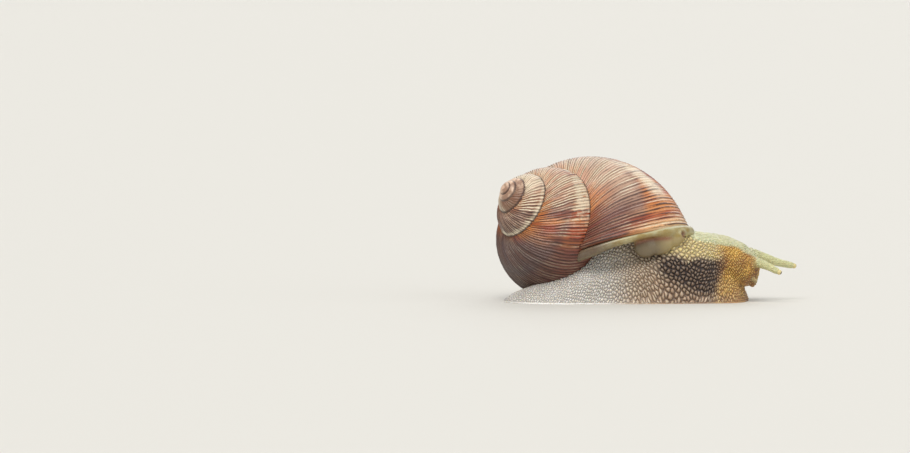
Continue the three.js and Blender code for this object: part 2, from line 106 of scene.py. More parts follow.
class Tree:
    """A shader or geometry tree, with one method that makes any node."""

    def __init__(self, tree: bpy.types.NodeTree) -> None:
        """Wraps an empty tree."""
        self.tree = tree

    def node(self, kind: str, settings: dict | None = None, inputs: dict | None = None) -> bpy.types.Node:
        """Makes a node.

        Args:
            kind: the node's type.
            settings: its properties, which are set first.
            inputs: values or links of its sockets, by name or number.

        Returns:
            The node.
        """
        made = self.tree.nodes.new(kind)
        for name, value in (settings or {}).items():
            setattr(made, name, value)
        for name, value in (inputs or {}).items():
            self.feed(made.inputs[name], value)
        return made

    def feed(self, socket: bpy.types.NodeSocket, value: Any) -> None:
        """Links a socket to a value that the tree works out, or sets it to a plain one.

        Args:
            socket: the socket that takes the value.
            value: a value, a socket, or a plain number, vector or colour.
        """
        if isinstance(value, Value):
            value = value.socket
        if isinstance(value, bpy.types.NodeSocket):
            self.tree.links.new(value, socket)
        else:
            socket.default_value = value

    def math(self, operation: str, *terms: Any) -> Value:
        """Works out one sum of numbers."""
        made = self.node("ShaderNodeMath", {"operation": operation}, dict(enumerate(terms)))
        return Value(self, made.outputs[0])

    def sine(self, term: Any) -> Value:
        """Takes the sine of radians."""
        return self.math("SINE", term)

    def cosine(self, term: Any) -> Value:
        """Takes the cosine of radians."""
        return self.math("COSINE", term)

    def exponent(self, term: Any) -> Value:
        """Raises e to a power."""
        return self.math("EXPONENT", term)

    def larger(self, one: Any, other: Any) -> Value:
        """Takes the larger of two."""
        return self.math("MAXIMUM", one, other)

    def smooth(self, term: Any, low: float, high: float) -> Value:
        """Rises smoothly from 0 at low to 1 at high, or falls where high is below low.

        Args:
            term: the number that it follows.
            low: where it is 0.
            high: where it is 1.

        Returns:
            The share, from 0 to 1.
        """
        ends = (1.0, 0.0) if high < low else (0.0, 1.0)
        inputs = {"Value": term, "From Min": min(low, high), "From Max": max(low, high)}
        inputs.update({"To Min": ends[0], "To Max": ends[1]})
        made = self.node("ShaderNodeMapRange", {"interpolation_type": "SMOOTHSTEP"}, inputs)
        return Value(self, made.outputs[0])

    def vector(self, x: Any, y: Any, z: Any = 0.0) -> bpy.types.NodeSocket:
        """Joins three numbers into a vector."""
        return self.node("ShaderNodeCombineXYZ", {}, {0: x, 1: y, 2: z}).outputs[0]

    def parts(self, vector: Any) -> list[Value]:
        """Splits a vector into its three numbers."""
        return [Value(self, s) for s in self.node("ShaderNodeSeparateXYZ", {}, {0: vector}).outputs]

    def scaled(self, vector: Any, factor: Any) -> bpy.types.NodeSocket:
        """Multiplies a vector by a number."""
        return self.node("ShaderNodeVectorMath", {"operation": "SCALE"}, {0: vector, 3: factor}).outputs[0]

    def noise(self, vector: Any, scale: float, detail: float = 2.0, rough: float = 0.5) -> Value:
        """Reads a cloudy noise, about 0.5 on average."""
        inputs = {"Vector": vector, "Scale": scale, "Detail": detail, "Roughness": rough}
        return Value(self, self.node("ShaderNodeTexNoise", {}, inputs).outputs[0])

    def cells(self, vector: Any, feature: str, randomness: float, space: str = "2D") -> bpy.types.Node:
        """Reads a pattern of cells, one to a unit."""
        inputs = {"Vector": vector, "Scale": 1.0, "Randomness": randomness}
        return self.node("ShaderNodeTexVoronoi", {"voronoi_dimensions": space, "feature": feature}, inputs)

    def mix(self, factor: Any, one: Any, other: Any) -> bpy.types.NodeSocket:
        """Mixes two colours, each a colour code or worked out by the tree, by the share of the other."""
        one, other = (paint(colour) if isinstance(colour, str) else colour for colour in (one, other))
        return self.node("ShaderNodeMix", {"data_type": "RGBA"}, {0: factor, 6: one, 7: other}).outputs[2]

    def marked(self, name: str) -> Value:
        """Reads a number kept on the mesh, in a material."""
        return Value(self, self.node("ShaderNodeAttribute", {"attribute_name": name}).outputs["Fac"])

    def near(self) -> bpy.types.NodeSocket:
        """Reads the place on the object in millimetres, in a material."""
        return self.scaled(self.node("ShaderNodeTexCoord").outputs["Object"], 1 / MM)

    def bump(self, height: Any, strength: float, depth: float) -> bpy.types.NodeSocket:
        """Turns a height into the way a surface faces, with its depth in millimetres."""
        inputs = {"Height": height, "Strength": strength, "Distance": depth * MM}
        return self.node("ShaderNodeBump", {}, inputs).outputs[0]

    def surface(self, inputs: dict) -> None:
        """Ends a material with its shader."""
        shader = self.node("ShaderNodeBsdfPrincipled", {}, inputs)
        self.feed(self.node("ShaderNodeOutputMaterial").inputs[0], shader.outputs[0])


def start_material(name: str) -> tuple[bpy.types.Material, Tree]:
    """Starts a material with an empty tree.

    Args:
        name: the material's name.

    Returns:
        The material and its tree.
    """
    made = bpy.data.materials.new(name)
    made.use_nodes = True
    made.node_tree.nodes.clear()
    return made, Tree(made.node_tree)


class Sums(Protocol):
    """What a rule of growth needs, whether plain arrays or a node tree work it out."""

    def sine(self, term: Any) -> Any:
        """Takes the sine."""

    def cosine(self, term: Any) -> Any:
        """Takes the cosine."""

    def exponent(self, term: Any) -> Any:
        """Raises e to a power."""

    def larger(self, one: Any, other: Any) -> Any:
        """Takes the larger of two."""


class PlainSums:
    """The same sums on arrays of numbers."""

    sine = staticmethod(np.sin)
    cosine = staticmethod(np.cos)
    exponent = staticmethod(np.exp)
    larger = staticmethod(np.maximum)


class Shaper(Tree):
    """A Geometry Nodes tree with named inputs, which turns a mesh into a finished one."""

    def __init__(self, name: str) -> None:
        """Starts the tree with its geometry input and output.

        Args:
            name: the tree's name.
        """
        super().__init__(bpy.data.node_groups.new(name, "GeometryNodeTree"))
        face = self.tree.interface
        face.new_socket("Geometry", in_out="INPUT", socket_type="NodeSocketGeometry")
        face.new_socket("Geometry", in_out="OUTPUT", socket_type="NodeSocketGeometry")
        self.entry = self.tree.nodes.new("NodeGroupInput")
        self.sizes: dict[str, float] = {}
        self.geometry = self.entry.outputs[0]

    def size(self, name: str, value: float) -> Value:
        """Adds a named size to the tree's inputs.

        Args:
            name: what the size is.
            value: what this object's modifier sets it to.

        Returns:
            The size, for use in expressions.
        """
        socket = self.tree.interface.new_socket(name, in_out="INPUT", socket_type="NodeSocketFloat")
        self.sizes[socket.identifier] = value
        return Value(self, next(s for s in self.entry.outputs if s.identifier == socket.identifier))

    def read(self, name: str, kind: str = "FLOAT") -> Any:
        """Reads an attribute of the mesh.

        Args:
            name: the attribute's name.
            kind: its type.

        Returns:
            A value, or a vector's socket.
        """
        made = self.node("GeometryNodeInputNamedAttribute", {"data_type": kind}, {"Name": name})
        shown = next(s for s in made.outputs if s.enabled and s.name == "Attribute")
        return Value(self, shown) if kind == "FLOAT" else shown

    def outward(self) -> bpy.types.NodeSocket:
        """Reads the way that the surface faces."""
        return self.node("GeometryNodeInputNormal").outputs[0]

    def move(self, **places: Any) -> None:
        """Sets the points' Position, or moves them by an Offset."""
        made = self.node("GeometryNodeSetPosition", {}, {"Geometry": self.geometry, **places})
        self.geometry = made.outputs[0]

    def apply(self, piece: bpy.types.Object, material: bpy.types.Material) -> None:
        """Ends the tree, runs it on an object and keeps the result as its plain mesh.

        Args:
            piece: the object whose mesh the tree works on.
            material: the finish that it sets.
        """
        whole = self.node("GeometryNodeRealizeInstances", {}, {0: self.geometry}).outputs[0]
        inputs = {"Geometry": whole, "Material": material}
        dressed = self.node("GeometryNodeSetMaterial", {}, inputs).outputs[0]
        self.feed(self.tree.nodes.new("NodeGroupOutput").inputs[0], dressed)
        modifier = piece.modifiers.new("shape", "NODES")
        modifier.node_group = self.tree
        for identifier, value in self.sizes.items():
            modifier[identifier] = value
        flatten(piece)


# ---------------------------------------------------------------- meshes


def make_piece(name: str, points: np.ndarray, faces: list) -> bpy.types.Object:
    """Makes an object at the origin.

    Args:
        name: its name.
        points: its points in metres.
        faces: its faces, as lists of point numbers.

    Returns:
        The object, linked to the scene.
    """
    mesh = bpy.data.meshes.new(name)
    mesh.from_pydata([tuple(p) for p in points], [], [tuple(f) for f in faces])
    mesh.validate()
    piece = bpy.data.objects.new(name, mesh)
    bpy.context.scene.collection.objects.link(piece)
    return piece


def flatten(piece: bpy.types.Object) -> None:
    """Turns an object's modifiers into its plain mesh.

    Args:
        piece: the object.
    """
    found = piece.evaluated_get(bpy.context.evaluated_depsgraph_get())
    made = bpy.data.meshes.new_from_object(found)
    old = piece.data
    piece.modifiers.clear()
    piece.data = made
    made.name = piece.name
    bpy.data.meshes.remove(old)


def loft(rings: np.ndarray) -> tuple[np.ndarray, list]:
    """Closes a surface through rings of points, with a fan at both ends.

    Args:
        rings: ring by point by three.

    Returns:
        Its points and its faces, which face outwards when each ring runs anticlockwise seen from the far end.
    """
    count, size, _ = rings.shape
    points = np.vstack([rings.reshape(-1, 3), rings[0].mean(0), rings[-1].mean(0)])
    faces = []
    for i in range(count - 1):
        for j in range(size):
            a, b = i * size + j, i * size + (j + 1) % size
            faces.append((a, b, b + size, a + size))
    first, last = count * size, count * size + 1
    for j in range(size):
        k = (j + 1) % size
        faces.append((k, j, first))
        faces.append(((count - 1) * size + j, (count - 1) * size + k, last))
    return points, faces


def facing_out(points: np.ndarray, faces: list) -> list:
    """Turns all faces round if the closed surface faces inwards.

    Args:
        points: the surface's points.
        faces: its faces.

    Returns:
        The faces, which face outwards.
    """
    volume = 0.0
    for face in faces:
        a = points[face[0]]
        for i in range(1, len(face) - 1):
            volume += float(np.dot(a, np.cross(points[face[i]], points[face[i + 1]])))
    return faces if volume > 0 else [tuple(reversed(f)) for f in faces]


def points_of(piece: bpy.types.Object) -> np.ndarray:
    """Reads a mesh.

    Args:
        piece: the object.

    Returns:
        Its points in millimetres.
    """
    flat = np.empty(len(piece.data.vertices) * 3)
    piece.data.vertices.foreach_get("co", flat)
    return flat.reshape(-1, 3) / MM


def normals_of(piece: bpy.types.Object) -> np.ndarray:
    """Reads which way a mesh faces.

    Args:
        piece: the object.

    Returns:
        The direction that each of its points faces.
    """
    flat = np.empty(len(piece.data.vertices) * 3, np.float32)
    piece.data.vertex_normals.foreach_get("vector", flat)
    return flat.reshape(-1, 3).astype(float)


def put_points(piece: bpy.types.Object, points: np.ndarray) -> None:
    """Moves a mesh's points to places in millimetres."""
    piece.data.vertices.foreach_set("co", (points * MM).ravel())
    piece.data.update()


def mark(piece: bpy.types.Object, **numbers: np.ndarray) -> None:
    """Writes attributes for the points of a mesh.

    Args:
        piece: the object.
        numbers: each attribute's name, with a number or a vector for every point.
    """
    for name, values in numbers.items():
        kind, slot = ("FLOAT", "value") if values.ndim == 1 else ("FLOAT_VECTOR", "vector")
        made = piece.data.attributes.new(name, kind, "POINT")
        made.data.foreach_set(slot, np.ascontiguousarray(values, np.float32).ravel())


def step(x: Any, low: Any, high: Any) -> np.ndarray:
    """Rises smoothly from 0 at low to 1 at high, on arrays."""
    t = np.clip((x - low) / (high - low), 0, 1)
    return t * t * (3 - 2 * t)


def hill(x: Any, width: float, power: int = 2) -> np.ndarray:
    """Falls smoothly from 1 at 0 on both sides, on arrays."""
    return np.exp(-((x / width) ** power))


def units(vectors: np.ndarray) -> np.ndarray:
    """Brings the vectors in the rows of an array to a length of one."""
    return vectors / np.linalg.norm(vectors, axis=1)[:, None]


def join(name: str, forms: list[tuple[np.ndarray, list]]) -> bpy.types.Object:
    """Puts several closed surfaces into one object.

    Args:
        name: the object's name.
        forms: points in millimetres and faces of each surface.

    Returns:
        The object.
    """
    points, faces, start = [], [], 0
    for part, ring in forms:
        points.append(part * MM)
        faces += [tuple(k + start for k in face) for face in facing_out(part, ring)]
        start += len(part)
    return make_piece(name, np.vstack(points), faces)


def soften(piece: bpy.types.Object, weights: np.ndarray, rounds: int) -> None:
    """Smooths part of a surface.

    Args:
        piece: the object.
        weights: how much of the smoothing each point takes.
        rounds: rounds of smoothing.
    """
    group = piece.vertex_groups.new(name="soften")
    for k in np.nonzero(weights > 0.01)[0]:
        group.add([int(k)], float(weights[k]), "REPLACE")
    modifier = piece.modifiers.new("soften", "SMOOTH")
    modifier.vertex_group = group.name
    modifier.iterations = rounds
    flatten(piece)
    piece.vertex_groups.clear()


def remesh(piece: bpy.types.Object, grain: float, smooth: int) -> None:
    """Fuses the surfaces of an object into one even skin.

    Args:
        piece: the object.
        grain: size of a face in millimetres.
        smooth: rounds of smoothing.
    """
    fuse = piece.modifiers.new("fuse", "REMESH")
    fuse.mode = "VOXEL"
    fuse.voxel_size = grain * MM
    fuse.use_smooth_shade = True
    relax = piece.modifiers.new("relax", "SMOOTH")
    relax.iterations = smooth
    flatten(piece)


# ---------------------------------------------------------------- the shell


@dataclass(frozen=True)
class Coil:
    """The rule of the shell's growth: an oval section widens as it turns about an axis and moves down it."""

    # distance of the section's middle from the axis at the mouth, and its growth per turn as a power of e
    coil_radius: Any = 12.32
    expansion: Any = 0.577
    slowing: Any = -0.0108
    # the way down the axis as a share of that distance, and what the last part of the last turn adds
    drop: Any = 2.391
    last_drop: Any = 0.393
    last_drop_from: float = -0.45
    last_drop_span: float = 0.6
    # the early turns, up to this one, grow and rise by a smaller share, which rounds the top
    dome_to: float = -1.9
    dome_growth: Any = 0.85
    dome_rise: Any = 0.88
    # the section's half sizes as shares of its distance from the axis, and its tilt in degrees
    half_width: Any = 0.89
    half_height: Any = 1.23
    section_tilt: float = 19.2
    # where the axis points, and how far the coil is turned about it, in degrees
    apex_rise: float = 31.8
    apex_heading: float = 36.0
    mouth_turn: float = 172.6
    apex: tuple[float, float, float] = (-29.6, -8.54, 26.49)

    def growth(self, sums: Sums, t: Any) -> Any:
        """Works out the section's size.

        Args:
            sums: arrays or a node tree.
            t: turns from the mouth.

        Returns:
            The size as a share of the mouth's.
        """
        late = sums.larger(t, self.dome_to)
        early = (t - late) * self.dome_growth
        return sums.exponent((late + early) * self.expansion + late * late * self.slowing * 0.5)

    def axes(self) -> np.ndarray:
        """Works out how the coil lies.

        Returns:
            A matrix with the coil's own x, y and axis as its rows.
        """
        rise, heading, turn = (math.radians(a) for a in (self.apex_rise, self.apex_heading, self.mouth_turn))
        level = -math.cos(rise)
        axis = np.array([level * math.cos(heading), level * math.sin(heading), math.sin(rise)])
        side = np.cross(axis, (0, 0, 1))
        side /= np.linalg.norm(side)
        x = side * math.cos(turn) + np.cross(axis, side) * math.sin(turn)
        return np.array([x, np.cross(axis, x), axis])

    def centre(self, sums: Sums, t: Any) -> tuple[Any, Any]:
        """Works out where the middle of the section lies.

        Args:
            sums: arrays or a node tree.
            t: turns from the mouth.

        Returns:
            Its distance from the axis, which is also the section's size, and its place along the axis.
        """
        size = self.growth(sums, t) * self.coil_radius
        descent = sums.larger((t - self.last_drop_from) / self.last_drop_span, 0.0)
        widest = self.growth(sums, self.dome_to) * self.coil_radius
        dome = (1 - self.dome_rise) * sums.larger(widest - size, 0.0)
        return size, (size + dome) * self.drop * -1.0 - descent * descent * self.coil_radius * self.last_drop

    def cover(self, t: np.ndarray, angle: np.ndarray) -> np.ndarray:
        """Works out about how far a place on the shell lies from the whorl that grew over it later.

        Args:
            t: turns from the mouth.
            angle: place round the section in radians.

        Returns:
            The distance in millimetres.
        """
        tilt = math.radians(self.section_tilt)
        size, middle = self.centre(PlainSums, t)
        later, later_middle = self.centre(PlainSums, t + 1)
        u, v = size * self.half_width * np.cos(angle), size * self.half_height * np.sin(angle)
        out = size - later + u * math.cos(tilt) - v * math.sin(tilt)
        up = middle - later_middle + u * math.sin(tilt) + v * math.cos(tilt)
        across = (out * math.cos(tilt) + up * math.sin(tilt)) / self.half_width
        over = (up * math.cos(tilt) - out * math.sin(tilt)) / self.half_height
        return np.hypot(across, over) - later

    def point(self, sums: Sums, t: Any, angle: Any, fill: Any = 1.0, grow: Any = 0.0) -> list:
        """Works out a point of the coil in millimetres.

        Args:
            sums: arrays or a node tree.
            t: turns from the mouth, negative before it.
            angle: place round the section in radians.
            fill: share of the section's size.
            grow: distance out of the surface.

        Returns:
            Its x, y and z.
        """
        size, middle = self.centre(sums, t)
        tilt = math.radians(self.section_tilt)
        u = (size * self.half_width * fill + grow) * sums.cosine(angle)
        v = (size * self.half_height * fill + grow) * sums.sine(angle)
        radius = size + u * math.cos(tilt) - v * math.sin(tilt)
        height = middle + u * math.sin(tilt) + v * math.cos(tilt)
        x, y = radius * sums.cosine(t * -TURN), radius * sums.sine(t * -TURN)
        first, second, axis = self.axes().tolist()
        return [x * first[i] + y * second[i] + height * axis[i] + self.apex[i] for i in range(3)]


@dataclass(frozen=True)
class Mouth:
    """The plane of the shell's mouth, and the turns between which it is looked for on the coil."""

    point: tuple[float, float, float] = (1.0, -1.95, 13.76)
    rise: float = 0.271
    roll: float = -0.2
    sought: tuple[float, float] = (-0.5, 0.35)
    halvings: int = 40

    def height(self, x: Any, y: Any) -> Any:
        """Works out the plane's height."""
        return self.point[2] + self.rise * (x - self.point[0]) + self.roll * (y - self.point[1])

    def down(self) -> np.ndarray:
        """Works out the direction out of the mouth."""
        normal = np.array([self.rise, self.roll, -1.0])
        return normal / np.linalg.norm(normal)

    def lag(self, coil: Coil, angles: np.ndarray) -> np.ndarray:
        """Finds where the mouth's plane cuts each line of growth.

        Args:
            coil: the rule of growth.
            angles: places round the section, one for each line.

        Returns:
            Turns from the coil's zero.
        """
        low, high = (np.full_like(angles, end) for end in self.sought)
        for _ in range(self.halvings):
            t = (low + high) / 2
            x, y, z = coil.point(PlainSums, t, angles)
            above = z > self.height(x, y)
            low, high = np.where(above, t, low), np.where(above, high, t)
        return (low + high) / 2


@dataclass(frozen=True)
class Ribs:
    """The fine raised lines that the shell's edge left as it grew."""

    per_turn: float = 330.0
    crowding: float = 0.8
    height: float = 0.18
    wander: float = 1.4

    def course(self, tree: Tree, coil: Coil, along: Value) -> Value:
        """Counts the ribs up to a place along the shell."""
        return coil.growth(tree, along) ** self.crowding * self.per_turn

    def crest(self, tree: Tree, course: Value, across: Value, over: Value) -> Value:
        """Works out the ribs' relief.

        Args:
            tree: a shader or geometry tree.
            course: count of ribs along the shell.
            across: place round the section, from -1 at its inner side to 1 at its outer.
            over: place round the section, from -1 at its foot to 1 at its top.

        Returns:
            0 between ribs to 1 on the strongest.
        """
        wave = tree.noise(tree.vector(course * 0.05, across * 1.4, over * 1.4), 1.0, 2.0)
        strength = tree.noise(tree.vector(course * 0.43, across * 0.8, over * 0.8), 1.0, 3.0)
        line = tree.cosine((course + wave * self.wander) * TURN) * 0.5 + 0.5
        second = tree.cosine((course * 0.63 + wave * self.wander) * TURN) * 0.5 + 0.5
        return (line * (tree.smooth(strength, 0.36, 0.6) * 0.7 + 0.3) + second * 0.25) ** 1.4 * 0.8


class ShellPlaces:
    """Where each colour of the shell lies, by its growth, its height above the floor and a few noises."""

    def __init__(self, tree: Tree, coil: Coil, ribs: Ribs) -> None:
        """Works out the masks.

        Args:
            tree: the material's tree.
            coil: the rule of growth.
            ribs: the ribs that follow it.
        """
        along, across, over, cover = (tree.marked(name) for name in ("along", "across", "over", "cover"))
        near = tree.near()
        x, _, z = tree.parts(near)
        course = ribs.course(tree, coil, along)
        self.crest = ribs.crest(tree, course, across, over)

        def grown(fine: float, long: float, detail: float = 3.0, rough: float = 0.5) -> Value:
            """Reads a noise drawn out along the lines of growth."""
            return tree.noise(tree.vector(course * fine, across * long, over * long), 1.0, detail, rough)

        self.streak, self.thread = grown(0.3, 0.7, rough=0.6), grown(1.3, 1.3, rough=0.6)
        self.dust = grown(3.1, 6.0)
        self.grit = tree.noise(near, 1.4, 4.0, 0.7)
        streak, thread, grit = self.streak, self.thread, self.grit
        patch = tree.noise(near, 0.24, 4.0, 0.6)
        rag = (grit - 0.5) * 0.6 + (patch - 0.5) * 0.8 + (thread - 0.5) * 0.7

        # the outer side of the whorls, those that a later whorl grew over, and those before the last one
        outer = tree.smooth(across, 0.0, 0.35)
        covered = tree.smooth(along, -0.92, -0.98)
        self.older = tree.smooth(along, -0.95, -1.1) * tree.smooth(z, 14.0, 18.0)
        # the dull belt along the middle of each whorl, left out at the middle of the right side
        height = over + (grown(0.045, 0.9, 2.0) - 0.5) * 0.5
        middle = tree.smooth(height, -0.05, 0.2) * tree.smooth(height, 0.86, 0.6) * outer
        middle = middle * (1 - tree.smooth(x, -14.0, -8.0) * tree.smooth(z, 21.0, 17.0) * 0.8)
        self.middle = middle * (1 - self.older * 0.45)
        # painted shade on the underside and in the dark band above the lip, redder to the front
        low = tree.smooth(z + x * 0.2, 15.0, 7.0) * tree.smooth(x, 0.0, -10.0)
        edge = tree.smooth(along, -0.055, -0.015) * tree.smooth(over, 0.35, 0.65)
        edge = tree.larger(edge, tree.smooth(along, -0.15, -0.03) * tree.smooth(x, 3.0, -6.0))
        self.shadow = tree.larger(low, edge) * 0.92
        self.red = tree.smooth(x, -24.0, -13.0)
        # the greyer foot of the early whorls, painted light on the top, the honey front and the rust by the
        # suture
        self.aged = tree.smooth(along, -1.4, -1.7) * tree.smooth(z, 22.0, 19.5)
        self.top = tree.smooth(z, 19.0, 28.0) * tree.smooth(over, 0.0, 0.3)
        self.glow = tree.smooth(x, -3.0, 5.0) * tree.smooth(z, 22.0, 18.0) * tree.smooth(streak, 0.3, 0.6)
        flush = tree.smooth(over, 0.05, 0.5) * tree.smooth(along, -0.99, -0.95) * tree.smooth(z, 27.0, 23.0)
        self.flush = flush * tree.smooth(x, -2.0, -7.0) * (1 - self.shadow)
        # the dark lines between ribs, and the pale ribs, partly their own colour and partly painted highlight
        # on their crests, palest where the outer skin has worn off and under the painted light on the top,
        # dimmer in the painted shade
        broken = thread + (grit - 0.5) * 0.4 + self.older * 0.1
        self.gap = tree.smooth(self.crest, 0.27, 0.05) * tree.smooth(broken, 0.35, 0.53)
        self.worn = tree.smooth(patch + streak * 0.3, 0.56, 0.76)
        pale = tree.smooth(self.crest, 0.3, 0.7) * (0.66 + self.worn * 0.25 + self.top * 0.34)
        pale = pale * (1 - self.shadow * 0.75) * (tree.smooth(thread, 0.3, 0.6) * 0.6 + 0.4)
        pale = pale * (tree.smooth(grit, 0.36, 0.56) * 0.5 + 0.5)
        self.pale = pale * (1 + self.older * 0.45 - self.flush * 0.65)
        # the bare cream edge along the suture, the belt that rises from the lip, and the old whorls
        seam = tree.smooth(over + rag * 0.5, 0.24, 0.06) * tree.smooth(streak + rag * 0.5, 0.4, 0.54)
        rim = tree.smooth(cover + rag * 0.6, 0.95, 0.45) * tree.smooth(thread + rag * 0.3, 0.34, 0.5)
        seam = tree.larger(seam, rim) * outer * covered
        seam = seam * (tree.smooth(grit + streak * 0.3, 0.5, 0.66) * 0.45 + 0.55)
        line = -0.22 - (along + 0.07) * 3.2
        belt = tree.smooth(tree.math("ABSOLUTE", over - line + rag * 0.2), 0.26, 0.05) * outer
        belt = belt * tree.smooth(along + rag * 0.05, -0.21, -0.13)
        self.belt = belt * tree.smooth(along + rag * 0.03, -0.04, -0.075)
        old = tree.smooth(along + rag * 0.08, -2.0, -2.12)
        self.bare = tree.larger(tree.larger(seam * 0.9, self.belt * 0.85), old * 0.75)
        # the smooth first whorls, with a darker swirl at the tip, and the thin line of painted shade along
        # the suture
        self.young = tree.smooth(along + (patch - 0.5) * 0.15, -2.66, -2.78)
        self.begun = tree.smooth(along, -2.95, -3.2)
        self.swirl = tree.larger(tree.smooth(over, 0.5, 1.0) * 0.3, tree.smooth(patch, 0.46, 0.6) * 0.75)
        self.suture = tree.smooth(cover + grit * 0.2, 0.42, 0.2) * outer * covered


@dataclass(frozen=True)
class ShellFinish:
    """Horn-like shell: orange and mauve brown with pale ribs, cream where the outer skin has worn off."""

    rust: str = "ab4415"
    amber: str = "d4843f"
    brown: str = "58322a"
    mauve: str = "856862"
    # the painted shade: plum underneath, wine red towards the front
    shadow_plum: str = "3f2e2e"
    shadow_wine: str = "63332a"
    dark: str = "34170e"
    tan: str = "eac6a8"
    dusty: str = "e0d0ca"
    honey: str = "e2b584"
    cream: str = "efe4c8"
    early: str = "876a53"
    tip: str = "ebcbb0"
    tip_dark: str = "7c5039"
    bump_depth: float = 0.16
    ribs: Ribs = field(default_factory=Ribs)

    def material(self, coil: Coil) -> bpy.types.Material:
        """Builds the finish, one layer of colour over another.

        Args:
            coil: the rule of growth that the ribs follow.

        Returns:
            The material.
        """
        made, tree = start_material("shell_horn")
        at = ShellPlaces(tree, coil, self.ribs)
        orange = tree.mix(tree.smooth(at.streak, 0.36, 0.6), self.rust, self.amber)
        dull = tree.mix(tree.smooth(at.streak, 0.38, 0.62), self.brown, self.mauve)
        colour = tree.mix(at.middle * 0.85, orange, dull)
        # painted shade, plum underneath and wine red towards the front
        colour = tree.mix(at.shadow, colour, tree.mix(at.red, self.shadow_plum, self.shadow_wine))
        grey = tree.mix(tree.smooth(at.streak, 0.35, 0.65), self.early, self.mauve)
        colour = tree.mix(at.aged * 0.8, colour, grey)
        # painted light on the top, in pale tan
        colour = tree.mix(at.top * 0.62, colour, self.tan)
        colour = tree.mix(at.glow * 0.75, colour, self.honey)
        colour = tree.mix(at.flush * 0.95, colour, orange)
        # the dark lines between ribs, fewer under the painted light on the top
        colour = tree.mix(at.gap * (0.92 - at.top * 0.3), colour, self.dark)
        # the pale ribs: their own colour with a painted highlight on the crests, cream where worn and under
        # the painted light on the top
        light = tree.mix(at.middle * (1 - at.older * 0.4), self.tan, self.dusty)
        light = tree.mix(tree.larger(at.worn, at.top), light, self.cream)
        colour = tree.mix(at.pale, colour, light)
        bone = tree.mix(at.thread * 0.2, self.cream, self.tan)
        colour = tree.mix(at.bare * (1 - at.gap * 0.6), colour, bone)
        first = tree.mix(tree.smooth(at.streak, 0.3, 0.7), self.early, self.tip_dark)
        colour = tree.mix(at.young, colour, first)
        colour = tree.mix(at.begun, colour, tree.mix(at.swirl, self.tip, self.tip_dark))
        # painted shade in a thin line along the suture
        colour = tree.mix(at.suture * 0.8, colour, self.dark)
        height = at.crest * (1 - at.young * 0.85) * (1 - at.belt * 0.7) + at.dust * 0.35
        tree.surface(
            {
                "Base Color": colour,
                "Roughness": 0.36 + at.grit * 0.2,
                "Normal": tree.bump(height, 1.0, self.bump_depth),
                "IOR": 1.5,
                "Coat Weight": 0.25,
                "Coat Roughness": 0.18,
            }
        )
        return made


